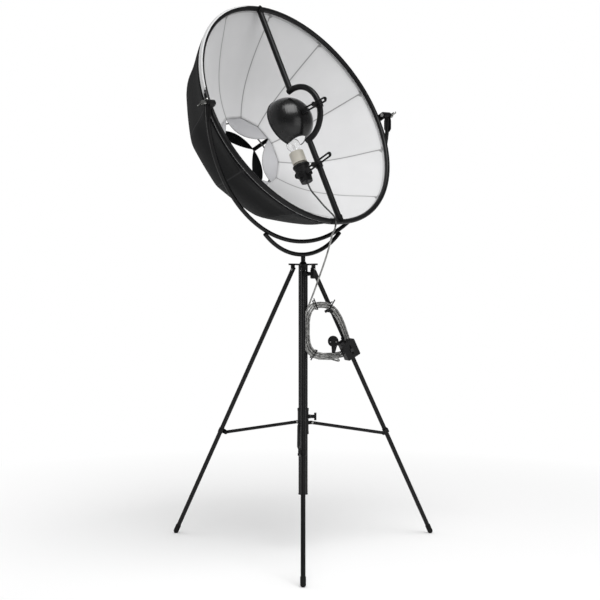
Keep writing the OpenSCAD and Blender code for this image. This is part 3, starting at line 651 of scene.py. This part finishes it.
class Look(Enum):
    """The lamp's finishes."""

    TUBE = PaintedMetal("satin_black_tube", (0.004, 0.004, 0.0044), 0.38, coat=0.06)
    FITTING = PaintedMetal(
        "black_fitting", (0.004, 0.004, 0.0044), 0.45, grain_scale=800.0, grain_depth=0.3,
        coat=0.05,
    )
    BOWL = PaintedMetal(
        "black_bowl_enamel", (0.003, 0.003, 0.0033), 0.27, grain_depth=0.05, coat=0.35,
        wear=0.05, specular=0.32,
    )
    NUT = BrightMetal("plated_steel", (0.38, 0.38, 0.37), 0.22)
    RIB = BrightMetal("spring_steel", (0.16, 0.16, 0.16), 0.4)
    LEAD = BrightMetal("lamp_leads", (0.42, 0.41, 0.39), 0.3)
    PLASTIC = MouldedPlastic("black_plastic", (0.005, 0.005, 0.0054), 0.5)
    GLOSS = MouldedPlastic("gloss_black_plastic", (0.004, 0.004, 0.0045), 0.26, grain_depth=0.06)
    BUTTON = MouldedPlastic("dark_button", (0.02, 0.02, 0.021), 0.4)
    RUBBER = MouldedPlastic("foot_rubber", (0.005, 0.005, 0.005), 0.75, grain_depth=0.5)
    CERAMIC = MouldedPlastic("lamp_cap", (0.42, 0.4, 0.35), 0.3, grain_depth=0.1)
    GLASS = ClearGlass("lamp_glass", (1.0, 1.0, 1.0), 0.02)
    CORD = CordSheath("cord_sheath", (0.2, 0.2, 0.195), 0.25)
    # The lamp lead is the same clear cord as the rest, given darker colours: painted shade where it
    # runs inside the shade.
    CORD_PAINTED_SHADE = CordSheath(
        "cord_sheath_painted_shade", (0.05, 0.05, 0.05), 0.25, core=(0.09, 0.09, 0.09),
        gap=(0.03, 0.03, 0.03), clear=0.1,
    )
    LINING = Cloth(
        "lining_cloth", (0.65, 0.65, 0.655), 0.62, seam_colour=(0.24, 0.24, 0.24), threads=500.0
    )
    # The petals are the pale lining's own cloth, given a darker colour than the lining: painted
    # shade on the inclined petals.
    PETAL_PAINTED_SHADE = Cloth(
        "petal_cloth_painted_shade", (0.5, 0.5, 0.515), 0.6, seam_colour=(0.08, 0.08, 0.08),
        seam_width=0.0016, threads=500.0,
    )
    HEM = Cloth(
        "hem_tape", (0.58, 0.58, 0.585), 0.7, seam_colour=(0.4, 0.4, 0.4), threads=400.0,
        depth=0.6,
    )
    COVER = Cloth(
        "cover_cloth", (0.0055, 0.0058, 0.0062), 0.6, seam_colour=(0.022, 0.022, 0.023),
        threads=450.0, depth=0.5, sheen=0.01, specular=0.05,
    )


NODE_LOOKS: dict[Look, tuple[str, ...]] = {
    Look.TUBE: (
        "column_tube", "hub_spider", "hub_collar", "leg_front", "leg_right", "leg_left",
        "strut_front", "strut_right", "strut_left", "inner_pole", "cradle_arc", "yoke_arc",
        "ring_tube", "cross_bar", "reflector_arm", "holder_arm",
    ),
    Look.FITTING: (
        "knuckle_front", "knuckle_right", "knuckle_left", "collar_sleeve",
        "arm_clamp_upper", "arm_clamp_lower",
    ),
    Look.BOWL: ("reflector_bowl",),
    Look.NUT: (
        "plug_pins", "hinge_pins", "collar_pins", "pivot_bolts", "wing_nut_right",
        "wing_nut_left",
    ),
    Look.RIB: ("shade_frame",),
    Look.LEAD: ("bulb_filament",),
    Look.PLASTIC: (
        "column_end_cap", "mast_bush", "pole_glide", "mast_clamp_knob", "collar_screw",
        "clamp_knob_upper", "clamp_knob_lower", "pivot_washers", "cable_clip", "cord_clips",
        "cord_ties", "lampholder_knob", "lampholder_body",
    ),
    Look.GLOSS: ("plug_body", "dimmer_box"),
    Look.BUTTON: ("dimmer_slider",),
    Look.RUBBER: ("foot_front", "foot_right", "foot_left"),
    Look.CERAMIC: ("bulb_base",),
    Look.GLASS: ("bulb_glass",),
}


class Finishes:
    """All finishes as materials, and the CAD nodes dressed in them."""

    def __init__(self) -> None:
        """Build every material."""
        shared = SharedGroups()
        self.made = {look: look.value.build(shared) for look in Look}

    def dress(self, piece: bpy.types.Object, look: Look) -> None:
        """Give a piece one material.

        Args:
            piece: The piece to dress.
            look: Its finish.
        """
        if piece.material_slots:
            for part in piece.material_slots:
                part.material = self.made[look]
        else:
            piece.data.materials.append(self.made[look])

    def dress_nodes(self, nodes: dict[str, bpy.types.Object]) -> None:
        """Dress the CAD nodes.

        Args:
            nodes: The frame's nodes by name.
        """
        for look, names in NODE_LOOKS.items():
            for name in names:
                self.dress(nodes[name], look)
                LOG.info("node %s: %s", name, look.value.name)


# ------------------------------------------------------------- mesh makers


def sample_grid(rows: int, columns: int, sample: Callable[[int, int], Cell]) -> Grid:
    """Sample a cloth at every row and column.

    Args:
        rows: Number of rows.
        columns: Number of columns.
        sample: Returns a point, its flat metres and its distance to the nearest seam.

    Returns:
        The points, the flat metres and the seam distances, each in rows.
    """
    cells = [[sample(i, j) for j in range(columns)] for i in range(rows)]
    points, flats, gaps = ([[cell[k] for cell in row] for row in cells] for k in range(3))
    return points, flats, gaps


def grid_area(points: Sequence[Sequence[Vector]], closed: bool) -> float:
    """Return the area of a grid of points.

    Args:
        points: Points in rows of equal length.
        closed: Whether the last column joins the first.

    Returns:
        The area in square metres.
    """
    wide = len(points[0])
    area = 0.0
    for a, b in zip(points, points[1:], strict=False):
        for j in range(wide if closed else wide - 1):
            k = (j + 1) % wide
            area += 0.5 * (
                (a[k] - a[j]).cross(b[j] - a[j]).length + (a[k] - b[k]).cross(b[j] - b[k]).length
            )
    return area


def select_only(piece: bpy.types.Object) -> None:
    """Select one piece alone and make it active."""
    bpy.ops.object.select_all(action="DESELECT")
    bpy.context.view_layer.objects.active = piece
    piece.select_set(True)


def surface_piece(
    name: str, grid: Grid, closed: bool, thickness: float,
    keep: Callable[[int, int], bool] | None = None,
) -> bpy.types.Object:
    """Make a sheet from a grid.

    Args:
        name: The piece's name.
        grid: Its points in the lamp's metres, flat metres and seam distances.
        closed: Whether the last column joins the first.
        thickness: The cloth's thickness in metres.
        keep: Says whether the face at a row and column stays.

    Returns:
        The new piece.
    """
    points, flats, gaps = grid
    mesh = bpy.data.meshes.new(name)
    bm = bmesh.new()
    uv_layer = bm.loops.layers.uv.new("cloth")
    gap_layer = bm.verts.layers.float.new("seam_gap")
    verts = [[bm.verts.new(p) for p in row] for row in points]
    for row, values in zip(verts, gaps, strict=True):
        for vert, value in zip(row, values, strict=True):
            vert[gap_layer] = value
    wide = len(points[0])
    for i in range(len(points) - 1):
        near, far = flats[i], flats[i + 1]
        near_step = near[1][0] - near[0][0]
        far_step = far[1][0] - far[0][0]
        for j in range(wide if closed else wide - 1):
            if keep is not None and not keep(i, j):
                continue
            k = (j + 1) % wide
            face = bm.faces.new((verts[i][j], verts[i][k], verts[i + 1][k], verts[i + 1][j]))
            face.smooth = True
            corners = (
                near[j], (near[j][0] + near_step, near[j][1]),
                (far[j][0] + far_step, far[j][1]), far[j],
            )
            for loop, uv in zip(face.loops, corners, strict=True):
                loop[uv_layer].uv = uv
    loose = [v for v in bm.verts if not v.link_faces]
    bmesh.ops.delete(bm, geom=loose, context="VERTS")
    bm.to_mesh(mesh)
    bm.free()
    piece = bpy.data.objects.new(name, mesh)
    bpy.context.collection.objects.link(piece)
    wall = piece.modifiers.new("wall", "SOLIDIFY")
    wall.thickness = thickness
    wall.offset = 0.0
    select_only(piece)
    bpy.ops.object.modifier_apply(modifier=wall.name)
    piece.select_set(False)
    return piece


# ------------------------------------------------------------------- cords


@dataclass(frozen=True)
class Stretch:
    """One stretch of the cord.

    Attributes:
        name: The piece's name.
        body: The body that it rides on, where it has no from_body.
        node: The CAD node that it stands for.
        far_end: What its far end reaches; not used.
        lay: How it lies; not used.
        look: Its finish.
        extras: CAD nodes that belong to it.
        from_body: The body that its near end comes from, where that is another one; such a stretch
            is made a mesh in place and rides on no body.
    """

    name: str
    body: str
    node: str
    far_end: str = "object"
    lay: str = "hanging"
    look: Look = Look.CORD
    extras: tuple[str, ...] = ()
    from_body: str | None = None


STRETCHES = (
    # The lamp lead wears the cord's darker copy, which is painted shade.
    Stretch("lamp_lead", "head", "cord_head", look=Look.CORD_PAINTED_SHADE, from_body="lampholder"),
    Stretch("falling_lead", "column", "cord_drop"),
    Stretch("hung_coil", "right_leg", "cord_coil", lay="coiled", extras=("cord_ties",)),
    Stretch("plug_lead", "right_leg", "cord_tail", "plug", extras=("plug_body", "plug_pins")),
)


@dataclass
class Cords:
    """The clear cord in its four stretches, with lengths in millimetres.

    Attributes:
        finishes: The lamp's finishes.
        diameter: The cord's diameter.
        turns: Turns in the hung coil.
        pitch: Inward step of each turn.
        layer: Distance between the coil's two layers.
        change: Share of a turn in which the coil changes its layer.
        start: Angle at which the coil begins, in degrees.
        corner: Power that squares the coil's corners.
        left: Distance of the coil's left side from the mast.
        wide: The coil's width at mid height.
        slant: How much narrower the coil is at its top.
        middle: Height of the coil's middle.
        high: Half of the coil's height.
        out: Distance of the coil's middle from its plane through the mast.
        plane: Turn of that plane about the mast, in degrees.
        fine: Steps in each span of the routes.
        straight_out: Straight run behind the end of the stretch before.
        straight_in: Straight run before the coil and before the plug.
        neck: Where the cord enters the plug.
        head_route: Route in the shade, in the shade's frame.
        drop_route: Free points between the ring and the coil.
        tail_route: Free points between the coil and the plug.
    """

    finishes: Finishes
    diameter: float = 6.0
    turns: float = 5.36
    pitch: float = 8.0
    layer: float = 7.0
    change: float = 0.5
    start: float = 140.0
    corner: float = 2 / 3
    left: float = -14.0
    wide: float = 168.0
    slant: float = 36.0
    middle: float = 742.0
    high: float = 98.0
    out: float = 30.0
    plane: float = 30.0
    fine: int = 6
    straight_out: float = 6.0
    straight_in: float = 7.0
    neck: Point = (105.0, 1.0, 666.0)
    head_route: tuple[Point, ...] = (
        (0, -223.1, -94), (0, -233, -93.5), (-2, -258, -89), (-9, -296, -70),
        (-20, -336, -47), (-29, -370, -25), (-33.5, -392, -12.5),
        (-36, -406, -10.3), (-37, -418, -14), (-37, -427, -21),
    )
    drop_route: tuple[Point, ...] = (
        (94, -145, 1064), (88, -135, 1038), (73, -115, 985), (49, -90, 914), (35, -52, 872),
    )
    tail_route: tuple[Point, ...] = (
        (116, 19, 638), (121, 12, 640), (117, 4, 646), (108, 0, 652),
    )

    def coil_point(self, t: float) -> Vector:
        """Return the coil's centreline after a number of turns.

        Args:
            t: Turns from the coil's start.

        Returns:
            The point in the lamp's frame, in metres.
        """
        half = (self.turns - self.change) / 2.0
        angle = math.radians(self.start + 360.0 * t)
        inset = self.pitch * min(t, self.turns - t, half)
        deep = self.layer * (0.5 - min(max((t - half) / self.change, 0.0), 1.0))
        u = math.copysign(abs(math.cos(angle)) ** self.corner, math.cos(angle))
        v = math.copysign(abs(math.sin(angle)) ** self.corner, math.sin(angle))
        along = self.left + inset + (u + 1) / 2 * (self.wide - self.slant * v - 2 * inset)
        aside = self.out + deep
        up = self.middle + (self.high - inset) * v
        c, s = math.cos(math.radians(self.plane)), math.sin(math.radians(self.plane))
        return Vector((along * c + aside * s, along * s - aside * c, up)) * MM

    def coil_path(self) -> list[Vector]:
        """Return the whole coil with its straight ends."""
        per_turn = 24
        count = round(self.turns * per_turn)
        turn = [self.coil_point(self.turns * i / count) for i in range(count + 1)]
        first = (turn[1] - turn[0]).normalized()
        last = (turn[-1] - turn[-2]).normalized()
        d = self.diameter * MM
        return [turn[0] - d * first, *turn, turn[-1] + d * last]

    def routes(self) -> dict[str, list[Vector]]:
        """Return the centrelines of the four stretches by name."""
        run_out, run_in = self.straight_out * MM, self.straight_in * MM
        coarse = 3
        head = [SHADE.point(*p) for p in self.head_route]
        head_path = smooth_route(head, coarse)
        way = (head_path[-1] - head_path[-2]).normalized()
        coil = self.coil_path()
        into = (coil[1] - coil[0]).normalized()
        off = (coil[-1] - coil[-2]).normalized()
        free = [Vector(p) * MM for p in self.drop_route]
        drop = smooth_route([head[-1] + run_out * way, *free, coil[0] - run_in * into], self.fine)
        neck = Vector(self.neck) * MM
        loop = [Vector(p) * MM for p in self.tail_route]
        below = neck - Vector((0, 0, run_in))
        tail = smooth_route([coil[-1] + run_out * off, *loop, below], self.fine)
        return {
            "lamp_lead": smooth_route(head, self.fine),
            "falling_lead": [head[-1], *drop, coil[0]],
            "hung_coil": coil,
            "plug_lead": [coil[-1], *tail, neck],
        }

    def tube(self, name: str, path: Sequence[Vector]) -> bpy.types.Object:
        """Make one stretch as a round curve.

        Args:
            name: The piece's name.
            path: Its centreline.

        Returns:
            The curve object.
        """
        data = bpy.data.curves.new(name, "CURVE")
        data.dimensions = "3D"
        data.bevel_depth = self.diameter * MM / 2
        data.bevel_resolution = 3
        data.use_fill_caps = True
        spline = data.splines.new("POLY")
        spline.points.add(len(path) - 1)
        for place, point in zip(spline.points, path, strict=True):
            place.co = (*point, 1.0)
        spline.use_smooth = True
        piece = bpy.data.objects.new(name, data)
        bpy.context.collection.objects.link(piece)
        LOG.info("cord %s: %.3f m", name, run_length(path))
        return piece

    def build(self, nodes: dict[str, bpy.types.Object]) -> None:
        """Make every stretch.

        Args:
            nodes: The frame's nodes by name.
        """
        routes = self.routes()
        for part in STRETCHES:
            path = routes[part.name]
            piece = self.tube(part.name, path)
            bends = part.from_body is not None
            self.finishes.dress(piece, part.look)
            if bends:
                select_only(piece)
                bpy.ops.object.convert(target="MESH")
                piece.select_set(False)
                tuple(path[0])
                tuple(path[-1])
                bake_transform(piece)
            else:
                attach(piece, part.body)
            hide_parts(part.node)
            tuple(path[0])
            run_length(path)
            [nodes[n] for n in part.extras]
            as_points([tuple(p) for p in path] if bends else None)


# ------------------------------------------------------------------- shade


@dataclass(frozen=True)
class Panel:
    """A cloth part that stands for a CAD node, with lengths in millimetres.

    Attributes:
        name: The piece's name.
        node: The CAD node.
        look: Its finish.
        slot: The record's material slot.
    """

    name: str
    node: str
    look: Look
    slot: str


@dataclass(frozen=True)
class Bowl(Panel):
    """One bowl of gores.

    Attributes:
        profile: Radius and depth pairs of the meridian at the ribs.
        slack: How flat the cloth runs from rib to rib; 1 is a straight chord.
        ramp: Depth over which the flatness comes in.
        edge_line: Distance of a stitched line from the front edge.
        puff: How far the loose cloth stands off midway.
        wall: The cloth's thickness in metres.
    """

    profile: tuple[Pair, ...]
    slack: float
    ramp: float
    edge_line: float
    puff: float
    wall: float


@dataclass(frozen=True)
class Petals(Panel):
    """Four lens-shaped petals between the vent's cusps.

    Attributes:
        radius: Radius of the outer edge.
        depth: Depth of the outer edge.
        bow: How far the inner edge lies inside the circle.
        rise: How far back the inner edge lies.
        lift: Bulge of the middle.
    """

    radius: float
    depth: float
    bow: float
    rise: float
    lift: float


LINING = Bowl(
    "shade_lining_cloth", "shade_lining", Look.LINING, "pale_lining",
    profile=(
        (403.6, 8.8), (386.7, 30), (364.7, 60), (340.7, 94), (315.6, 126), (290.5, 155),
        (262.5, 183.5), (232.4, 209.6), (200.3, 231.6), (168.2, 248.7), (134.2, 262.7),
    ),
    slack=0.75, ramp=150.0, edge_line=5.0, puff=0.0, wall=0.0008,
)
COVER = Bowl(
    "shade_cover_cloth", "shade_cover", Look.COVER, "black_cover",
    profile=(
        (408.6, 8.8), (398.4, 28), (377.4, 62), (357.4, 98), (335.4, 148), (304.4, 199.6),
        (260.5, 249.5), (210.6, 289.4), (189.7, 301.3),
    ),
    slack=0.8, ramp=60.0, edge_line=12.0, puff=13.0, wall=0.0009,
)
# The inner petals wear the lining cloth's darker copy, which is painted shade.
INNER_PETALS = Petals(
    "vent_petal", "vent_petals", Look.PETAL_PAINTED_SHADE, "pale_lining",
    radius=133.6, depth=263.4, bow=53.0, rise=26.0, lift=3.0,
)
BANDS = Petals(
    "vent_band", "vent_cap", Look.COVER, "black_cover",
    radius=120.0, depth=334.4, bow=44.0, rise=4.0, lift=2.0,
)


@dataclass(frozen=True)
class HemTape:
    """The pale tape round the ring, with lengths in millimetres and angles in degrees.

    Attributes:
        ring: Radius of the ring's centreline.
        tube: Distance of the tape from that centreline.
        first_bend: Angle round the tube of the first row; 90 is the front.
        step: Angle between two rows.
        rows: Number of rows.
        columns: Number of columns.
        row_flat: Flat metres between two rows.
        stitches: Rows at which the stitched lines lie.
        shown: Limits of the upper left, where the ring's outside is covered too.
        first_shown: First row that the tape covers there.
        first_hidden: First row that it covers elsewhere.
        taper: Rows that the tape gains in a degree at those limits.
        clip_at: Angle of the cable clip, where the tape is open.
        clip_half: Half of that opening.
        wall: The tape's thickness in metres.
    """

    ring: float = 406.0
    tube: float = 9.25
    first_bend: float = 125.0
    step: float = 10.5
    rows: int = 27
    columns: int = 264
    row_flat: float = 0.0018
    stitches: tuple[float, ...] = (8.5, 24.5)
    shown: Pair = (94.0, 176.0)
    first_shown: float = 5.0
    first_hidden: float = 18.0
    taper: float = 2.5
    clip_at: float = 264.93
    clip_half: float = 1.9
    wall: float = 0.0007

    def covers(self, i: int, j: int) -> bool:
        """Say whether the tape covers the face at a row and column."""
        at = (j + 0.5) * 360.0 / self.columns
        inside = min(at - self.shown[0], self.shown[1] - at)
        first = self.first_hidden
        if inside > 0:
            first = max(self.first_shown, first - self.taper * inside)
        return i >= first and abs(at - self.clip_at) >= self.clip_half


@dataclass
class ClothShade:
    """The shade's cloths: pale lining, dark cover, hem and vent petals.

    Attributes:
        finishes: The lamp's finishes.
        tape: The hem tape.
        gores: Number of gores.
        seam_at: Angle of the first seam in degrees.
        per_gore: Mesh columns in each gore.
        per_span: Mesh rows in each span of a meridian.
        back: Distance of the ring behind the tilt axis.
        cusp_at: Angle of the first cusp of the vent.
        strap_wide: Width of the straps that hold the vent's bands.
        strap_from: Radius and depth at which a strap begins.
        strap_run: Run of a strap in radius.
        strap_slope: Depth that a strap loses in a millimetre of radius.
        ridge_high: How far a seam is drawn in.
        ridge_half: Distance from a seam at which that fades.
        droop: How unevenly the loose cloth stands off round the shade.
        droop_at: Angle at which it stands off furthest.
        petal_steps: Mesh steps across and along a petal.
        petal_reach: Share of its quarter that a petal fills.
    """

    finishes: Finishes
    tape: HemTape = HemTape()
    gores: int = 11
    seam_at: float = 15.5
    per_gore: int = 16
    per_span: int = 3
    back: float = 24.0
    cusp_at: float = 24.0
    strap_wide: float = 14.0
    strap_from: Pair = (117.5, 336.14575)
    strap_run: float = 79.0
    strap_slope: float = 0.4583
    ridge_high: float = 1.2
    ridge_half: float = 2.5
    droop: float = 0.45
    droop_at: float = 165.0
    petal_steps: tuple[int, int] = (8, 28)
    petal_reach: float = 0.985

    def meridian(self, profile: Sequence[Pair]) -> list[Vector]:
        """Return a smooth meridian with its running length.

        Args:
            profile: Radius and depth pairs.

        Returns:
            Vectors of radius, depth and length along the cloth.
        """
        fine = smooth_route([Vector((r, d, 0.0)) for r, d in profile], self.per_span)
        length = 0.0
        done = [Vector((fine[0].x, fine[0].y, 0.0))]
        for a, b in zip(fine, fine[1:], strict=False):
            length += (b - a).length
            done.append(Vector((b.x, b.y, length)))
        return done

    def finish(self, piece: bpy.types.Object, look: Look, slot: str, node: str | None) -> None:
        """Dress a cloth piece and let it ride on the shade.

        Args:
            piece: The piece.
            look: Its finish.
            slot: The record's material slot; not used.
            node: The CAD node that it replaces, if any.
        """
        self.finishes.dress(piece, look)
        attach(piece, "head")
        if node is not None:
            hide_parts(node)
        LOG.info("piece %s on the shade", piece.name)

    def gored(self, bowl: Bowl, trims: Sequence[bpy.types.Object] = ()) -> None:
        """Make a bowl of gores drawn flat between the ribs.

        Args:
            bowl: The bowl's sizes.
            trims: Not used.
        """
        line = self.meridian(bowl.profile)
        half = math.pi / self.gores
        columns = self.gores * self.per_gore

        def sample(i: int, j: int) -> Cell:
            """Return one point of the bowl."""
            step = line[i]
            come = min(max((step.y - bowl.profile[0][1]) / bowl.ramp, 0.0), 1.0)
            come = come * come * (3 - 2 * come)
            part = (step.y - line[0].y) / (line[-1].y - line[0].y)
            loose = bowl.puff * max(math.sin(math.pi * part), 0.0) ** 0.5
            share = (j % self.per_gore) / self.per_gore
            off = (share - 0.5) * 2 * half
            chord = math.cos(half) / math.cos(off)
            pull = 1 - bowl.slack * come * (1 - chord)
            near = min(share, 1 - share) * 2 * half * step.x
            ridge = self.ridge_high * math.exp(-((near / self.ridge_half) ** 2)) * come
            at = math.radians(self.seam_at) + 2 * math.pi * j / columns
            uneven = 1 + self.droop * math.cos(at - math.radians(self.droop_at))
            r = step.x * pull - ridge + loose * uneven
            point = SHADE.point(r * math.cos(at), r * math.sin(at), -self.back - step.y)
            gap = min(near, abs(step.z - bowl.edge_line)) * MM
            return point, (at * step.x * MM, step.z * MM), gap

        grid = sample_grid(len(line), columns, sample)
        area = grid_area(grid[0], True)
        piece = surface_piece(bowl.name, grid, True, bowl.wall)
        self.finish(piece, bowl.look, bowl.slot, bowl.node)
        LOG.info("cloth %s: %.3f square metres", bowl.name, area)

    def hem(self) -> bpy.types.Object:
        """Make the pale tape behind the ring, which covers its outside at the upper left.

        Returns:
            The tape.
        """
        tape = self.tape

        def sample(i: int, j: int) -> Cell:
            """Return one point of the tape."""
            bend = math.radians(tape.first_bend - tape.step * i)
            at = 2 * math.pi * j / tape.columns
            r = tape.ring + tape.tube * math.cos(bend)
            z = -self.back + tape.tube * math.sin(bend)
            gap = min(abs(i - stitch) for stitch in tape.stitches) * tape.row_flat
            point = SHADE.point(r * math.cos(at), r * math.sin(at), z)
            return point, (at * tape.ring * MM, i * tape.row_flat), gap

        grid = sample_grid(tape.rows, tape.columns, sample)
        piece = surface_piece("ring_hem", grid, True, tape.wall, tape.covers)
        self.finish(piece, Look.HEM, "pale_lining", None)
        return piece

    def straps(self) -> list[bpy.types.Object]:
        """Make the four straps that hold the vent's bands.

        Returns:
            The straps.
        """
        rows, columns = 15, 7
        sag, hem, wall = 0.8, 2.5, 0.0012
        done = []
        for k in range(4):
            turn = math.radians(self.cusp_at + 90.0 * k)
            along = Vector((math.cos(turn), math.sin(turn), 0.0))
            across = Vector((-math.sin(turn), math.cos(turn), 0.0))

            def sample(i: int, j: int, along: Vector = along, across: Vector = across) -> Cell:
                """Return one point of the strap."""
                t = i / (rows - 1)
                out = self.strap_run * t
                deep = self.strap_from[1] - out * self.strap_slope - sag * math.sin(math.pi * t)
                off = self.strap_wide * (j / (columns - 1) - 0.5)
                r = self.strap_from[0] + out
                p = along * r + across * off
                gap = abs(self.strap_wide / 2 - hem - abs(off)) * MM
                return SHADE.point(p.x, p.y, -self.back - deep), (off * MM, r * MM), gap

            grid = sample_grid(rows, columns, sample)
            piece = surface_piece(f"vent_strap_{k + 1}", grid, False, wall)
            self.finish(piece, Look.COVER, "black_cover", None)
            done.append(piece)
        return done

    def petals(self, lens: Petals, trims: Sequence[bpy.types.Object] = ()) -> None:
        """Make four petals between the cusps of the vent.

        Args:
            lens: The petals' sizes.
            trims: Pieces for the petals, one to each; they are not joined to them.
        """
        rows, columns = self.petal_steps
        least_gap, wall = 0.0006, 0.0009
        half = lens.radius * math.sin(math.pi / 4)
        mid = lens.radius - lens.bow
        big = (2 * half * half - mid * mid) / (2 * (half - mid))
        reach = math.atan2(half, big - half)

        def sample(i: int, j: int) -> Cell:
            """Return one point of a petal, in the shade's metres before its turn."""
            t = i / rows
            s = 2 * j / columns - 1
            a = s * math.pi / 4 * self.petal_reach
            b = s * reach * self.petal_reach
            outer = Vector((lens.radius * math.cos(a), lens.radius * math.sin(a), 0.0))
            inner = Vector((big - (big - mid) * math.cos(b), (big - mid) * math.sin(b), 0.0))
            p = outer.lerp(inner, t)
            slim = 1 - s * s
            back = lens.depth + lens.rise * t * slim + lens.lift * math.sin(math.pi * t) * slim
            gap = min(t, 1 - t) * lens.bow * slim * MM + least_gap
            return Vector((p.x, p.y, back)) * MM, (s * half * MM, t * lens.bow * MM), gap

        points, flats, gaps = sample_grid(rows + 1, columns + 1, sample)
        area = grid_area(points, False)
        for k in range(4):
            turn = Matrix.Rotation(math.radians(self.cusp_at + 45 + 90 * k), 3, "Z")
            turned = [[turn @ point / MM for point in row] for row in points]
            placed = [[SHADE.point(q.x, q.y, -self.back - q.z) for q in row] for row in turned]
            name = f"{lens.name}_{k + 1}"
            piece = surface_piece(name, (placed, flats, gaps), False, wall)
            self.finish(piece, lens.look, lens.slot, lens.node if k == 0 else None)
            list(trims[k:k + 1])

    def build(self) -> None:
        """Make every cloth of the shade."""
        self.gored(LINING, [self.hem()])
        self.gored(COVER)
        self.petals(INNER_PETALS)
        self.petals(BANDS, self.straps())


# ------------------------------------------------------------------- stage


@dataclass(frozen=True)
class SoftLight:
    """One soft square light.

    Attributes:
        name: The light's name.
        at: Where it hangs.
        to: Where it points.
        side: Its side in metres.
        power: Its power in watts.
    """

    name: str
    at: Point
    to: Point
    side: float
    power: float


LIGHTS = (
    SoftLight("key_light", (0.5, -1.3, 4.5), (0.0, 0.0, 1.3), 2.6, 112.0),
    SoftLight("fill_light", (3.0, -2.8, 1.6), (0.0, 0.0, 1.0), 2.6, 24.0),
    SoftLight("rim_light", (-2.8, 1.2, 1.6), (0.0, 0.0, 1.0), 1.8, 16.0),
)


@dataclass
class Studio:
    """Camera, floor and soft light.

    Attributes:
        size: The photograph's side in pixels.
        focal: Focal length in pixels.
        sensor: The camera's sensor width in millimetres.
        stand: Where the camera stands.
        view: The way it looks.
        reach: The floor's side and how far the camera sees, in metres.
        floor_colour: The floor's linear colour.
        floor_lift: Light added to the floor that the camera sees.
        floor_near: Distance at which the floor starts to turn plain white.
        floor_far: Distance from which it is plain white.
        surround: Strength of the surround that lights the lamp.
        shine: Grey of the surround that glossy surfaces show.
    """

    size: int = 600
    focal: float = 1530.26
    sensor: float = 36.0
    stand: Point = (0.0, -5.11965, 1.14754)
    view: Point = (-0.00203, 0.99825, -0.05907)
    reach: float = 60.0
    floor_colour: Point = (0.86, 0.86, 0.86)
    floor_lift: float = 0.06
    floor_near: float = 0.9
    floor_far: float = 2.2
    surround: float = 0.6
    shine: float = 0.2

    def camera(self) -> None:
        """Make the camera at the photograph's place."""
        data = bpy.data.cameras.new("photo_camera")
        data.sensor_fit = "HORIZONTAL"
        data.sensor_width = self.sensor
        data.lens = self.sensor * self.focal / self.size
        data.clip_end = self.reach
        camera = bpy.data.objects.new("photo_camera", data)
        bpy.context.collection.objects.link(camera)
        forward = Vector(self.view).normalized()
        right = forward.cross(Vector((0, 0, 1))).normalized()
        up = right.cross(forward)
        turn = Matrix((right, up, -forward)).transposed().to_4x4()
        camera.matrix_world = Matrix.Translation(self.stand) @ turn
        bpy.context.scene.camera = camera

    def floor(self) -> None:
        """Make the plain pale floor."""
        bpy.ops.object.select_all(action="DESELECT")
        bpy.ops.mesh.primitive_plane_add(size=self.reach)
        piece = bpy.context.active_object
        piece.name = piece.data.name = "studio_floor"
        material = bpy.data.materials.new("pale_floor")
        material.use_nodes = True
        nodes = material.node_tree.nodes
        board = Board(material.node_tree)
        matt = nodes["Principled BSDF"]
        set_inputs(
            matt, Base_Color=rgba(self.floor_colour), Roughness=0.9, Specular_IOR_Level=0.1
        )
        lift = board.add("ShaderNodeEmission", Strength=self.floor_lift)
        near = board.add("ShaderNodeAddShader")
        board.join(matt.outputs[0], near.inputs[0])
        board.join(lift.outputs[0], near.inputs[1])
        place = board.add("ShaderNodeTexCoord")
        away = board.add("ShaderNodeVectorMath", operation="LENGTH")
        board.join(place.outputs["Object"], away.inputs[0])
        far = board.ramp(away.outputs["Value"], self.floor_near, self.floor_far)
        white = board.add("ShaderNodeEmission", Strength=1.0)
        seen = board.mix_shaders(far, near.outputs[0], white.outputs[0])
        path = board.add("ShaderNodeLightPath")
        mixed = board.mix_shaders(path.outputs["Is Camera Ray"], matt.outputs[0], seen)
        board.join(mixed, nodes["Material Output"].inputs[0])
        piece.data.materials.append(material)

    def world(self) -> None:
        """Set an even pale surround."""
        world = bpy.data.worlds.new("pale_surround")
        bpy.context.scene.world = world
        world.use_nodes = True
        nodes = world.node_tree.nodes
        board = Board(world.node_tree)
        white = rgba((1.0, 1.0, 1.0))
        soft = nodes["Background"]
        set_inputs(soft, Color=white, Strength=self.surround)
        dim = board.add("ShaderNodeBackground", Color=rgba((self.shine,) * 3))
        plain = board.add("ShaderNodeBackground", Color=white)
        path = board.add("ShaderNodeLightPath")
        seen = board.math(
            "MAXIMUM", path.outputs["Is Camera Ray"], path.outputs["Is Transmission Ray"]
        )
        lit = board.mix_shaders(path.outputs["Is Glossy Ray"], soft.outputs[0], dim.outputs[0])
        mixed = board.mix_shaders(seen, lit, plain.outputs[0])
        board.join(mixed, nodes["World Output"].inputs[0])

    def lights(self) -> None:
        """Hang the soft lights."""
        for soft in LIGHTS:
            data = bpy.data.lights.new(soft.name, "AREA")
            data.size = soft.side
            data.energy = soft.power
            light = bpy.data.objects.new(soft.name, data)
            bpy.context.collection.objects.link(light)
            light.location = soft.at
            way = Vector(soft.to) - Vector(soft.at)
            light.rotation_euler = way.to_track_quat("-Z", "Y").to_euler()

    def build(self) -> None:
        """Make the floor, the surround and the lights."""
        self.floor()
        self.world()
        self.lights()
        bpy.context.scene.view_settings.view_transform = "Standard"


def main() -> None:
    """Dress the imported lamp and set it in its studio."""
    logging.basicConfig(level=logging.INFO, format="%(message)s")
    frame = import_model()
    nodes = frame["nodes"]
    studio = Studio()
    studio.camera()
    finishes = Finishes()
    Cords(finishes).build(nodes)
    finishes.dress_nodes(nodes)
    ClothShade(finishes).build()
    studio.build()


if __name__ == "__main__":
    main()
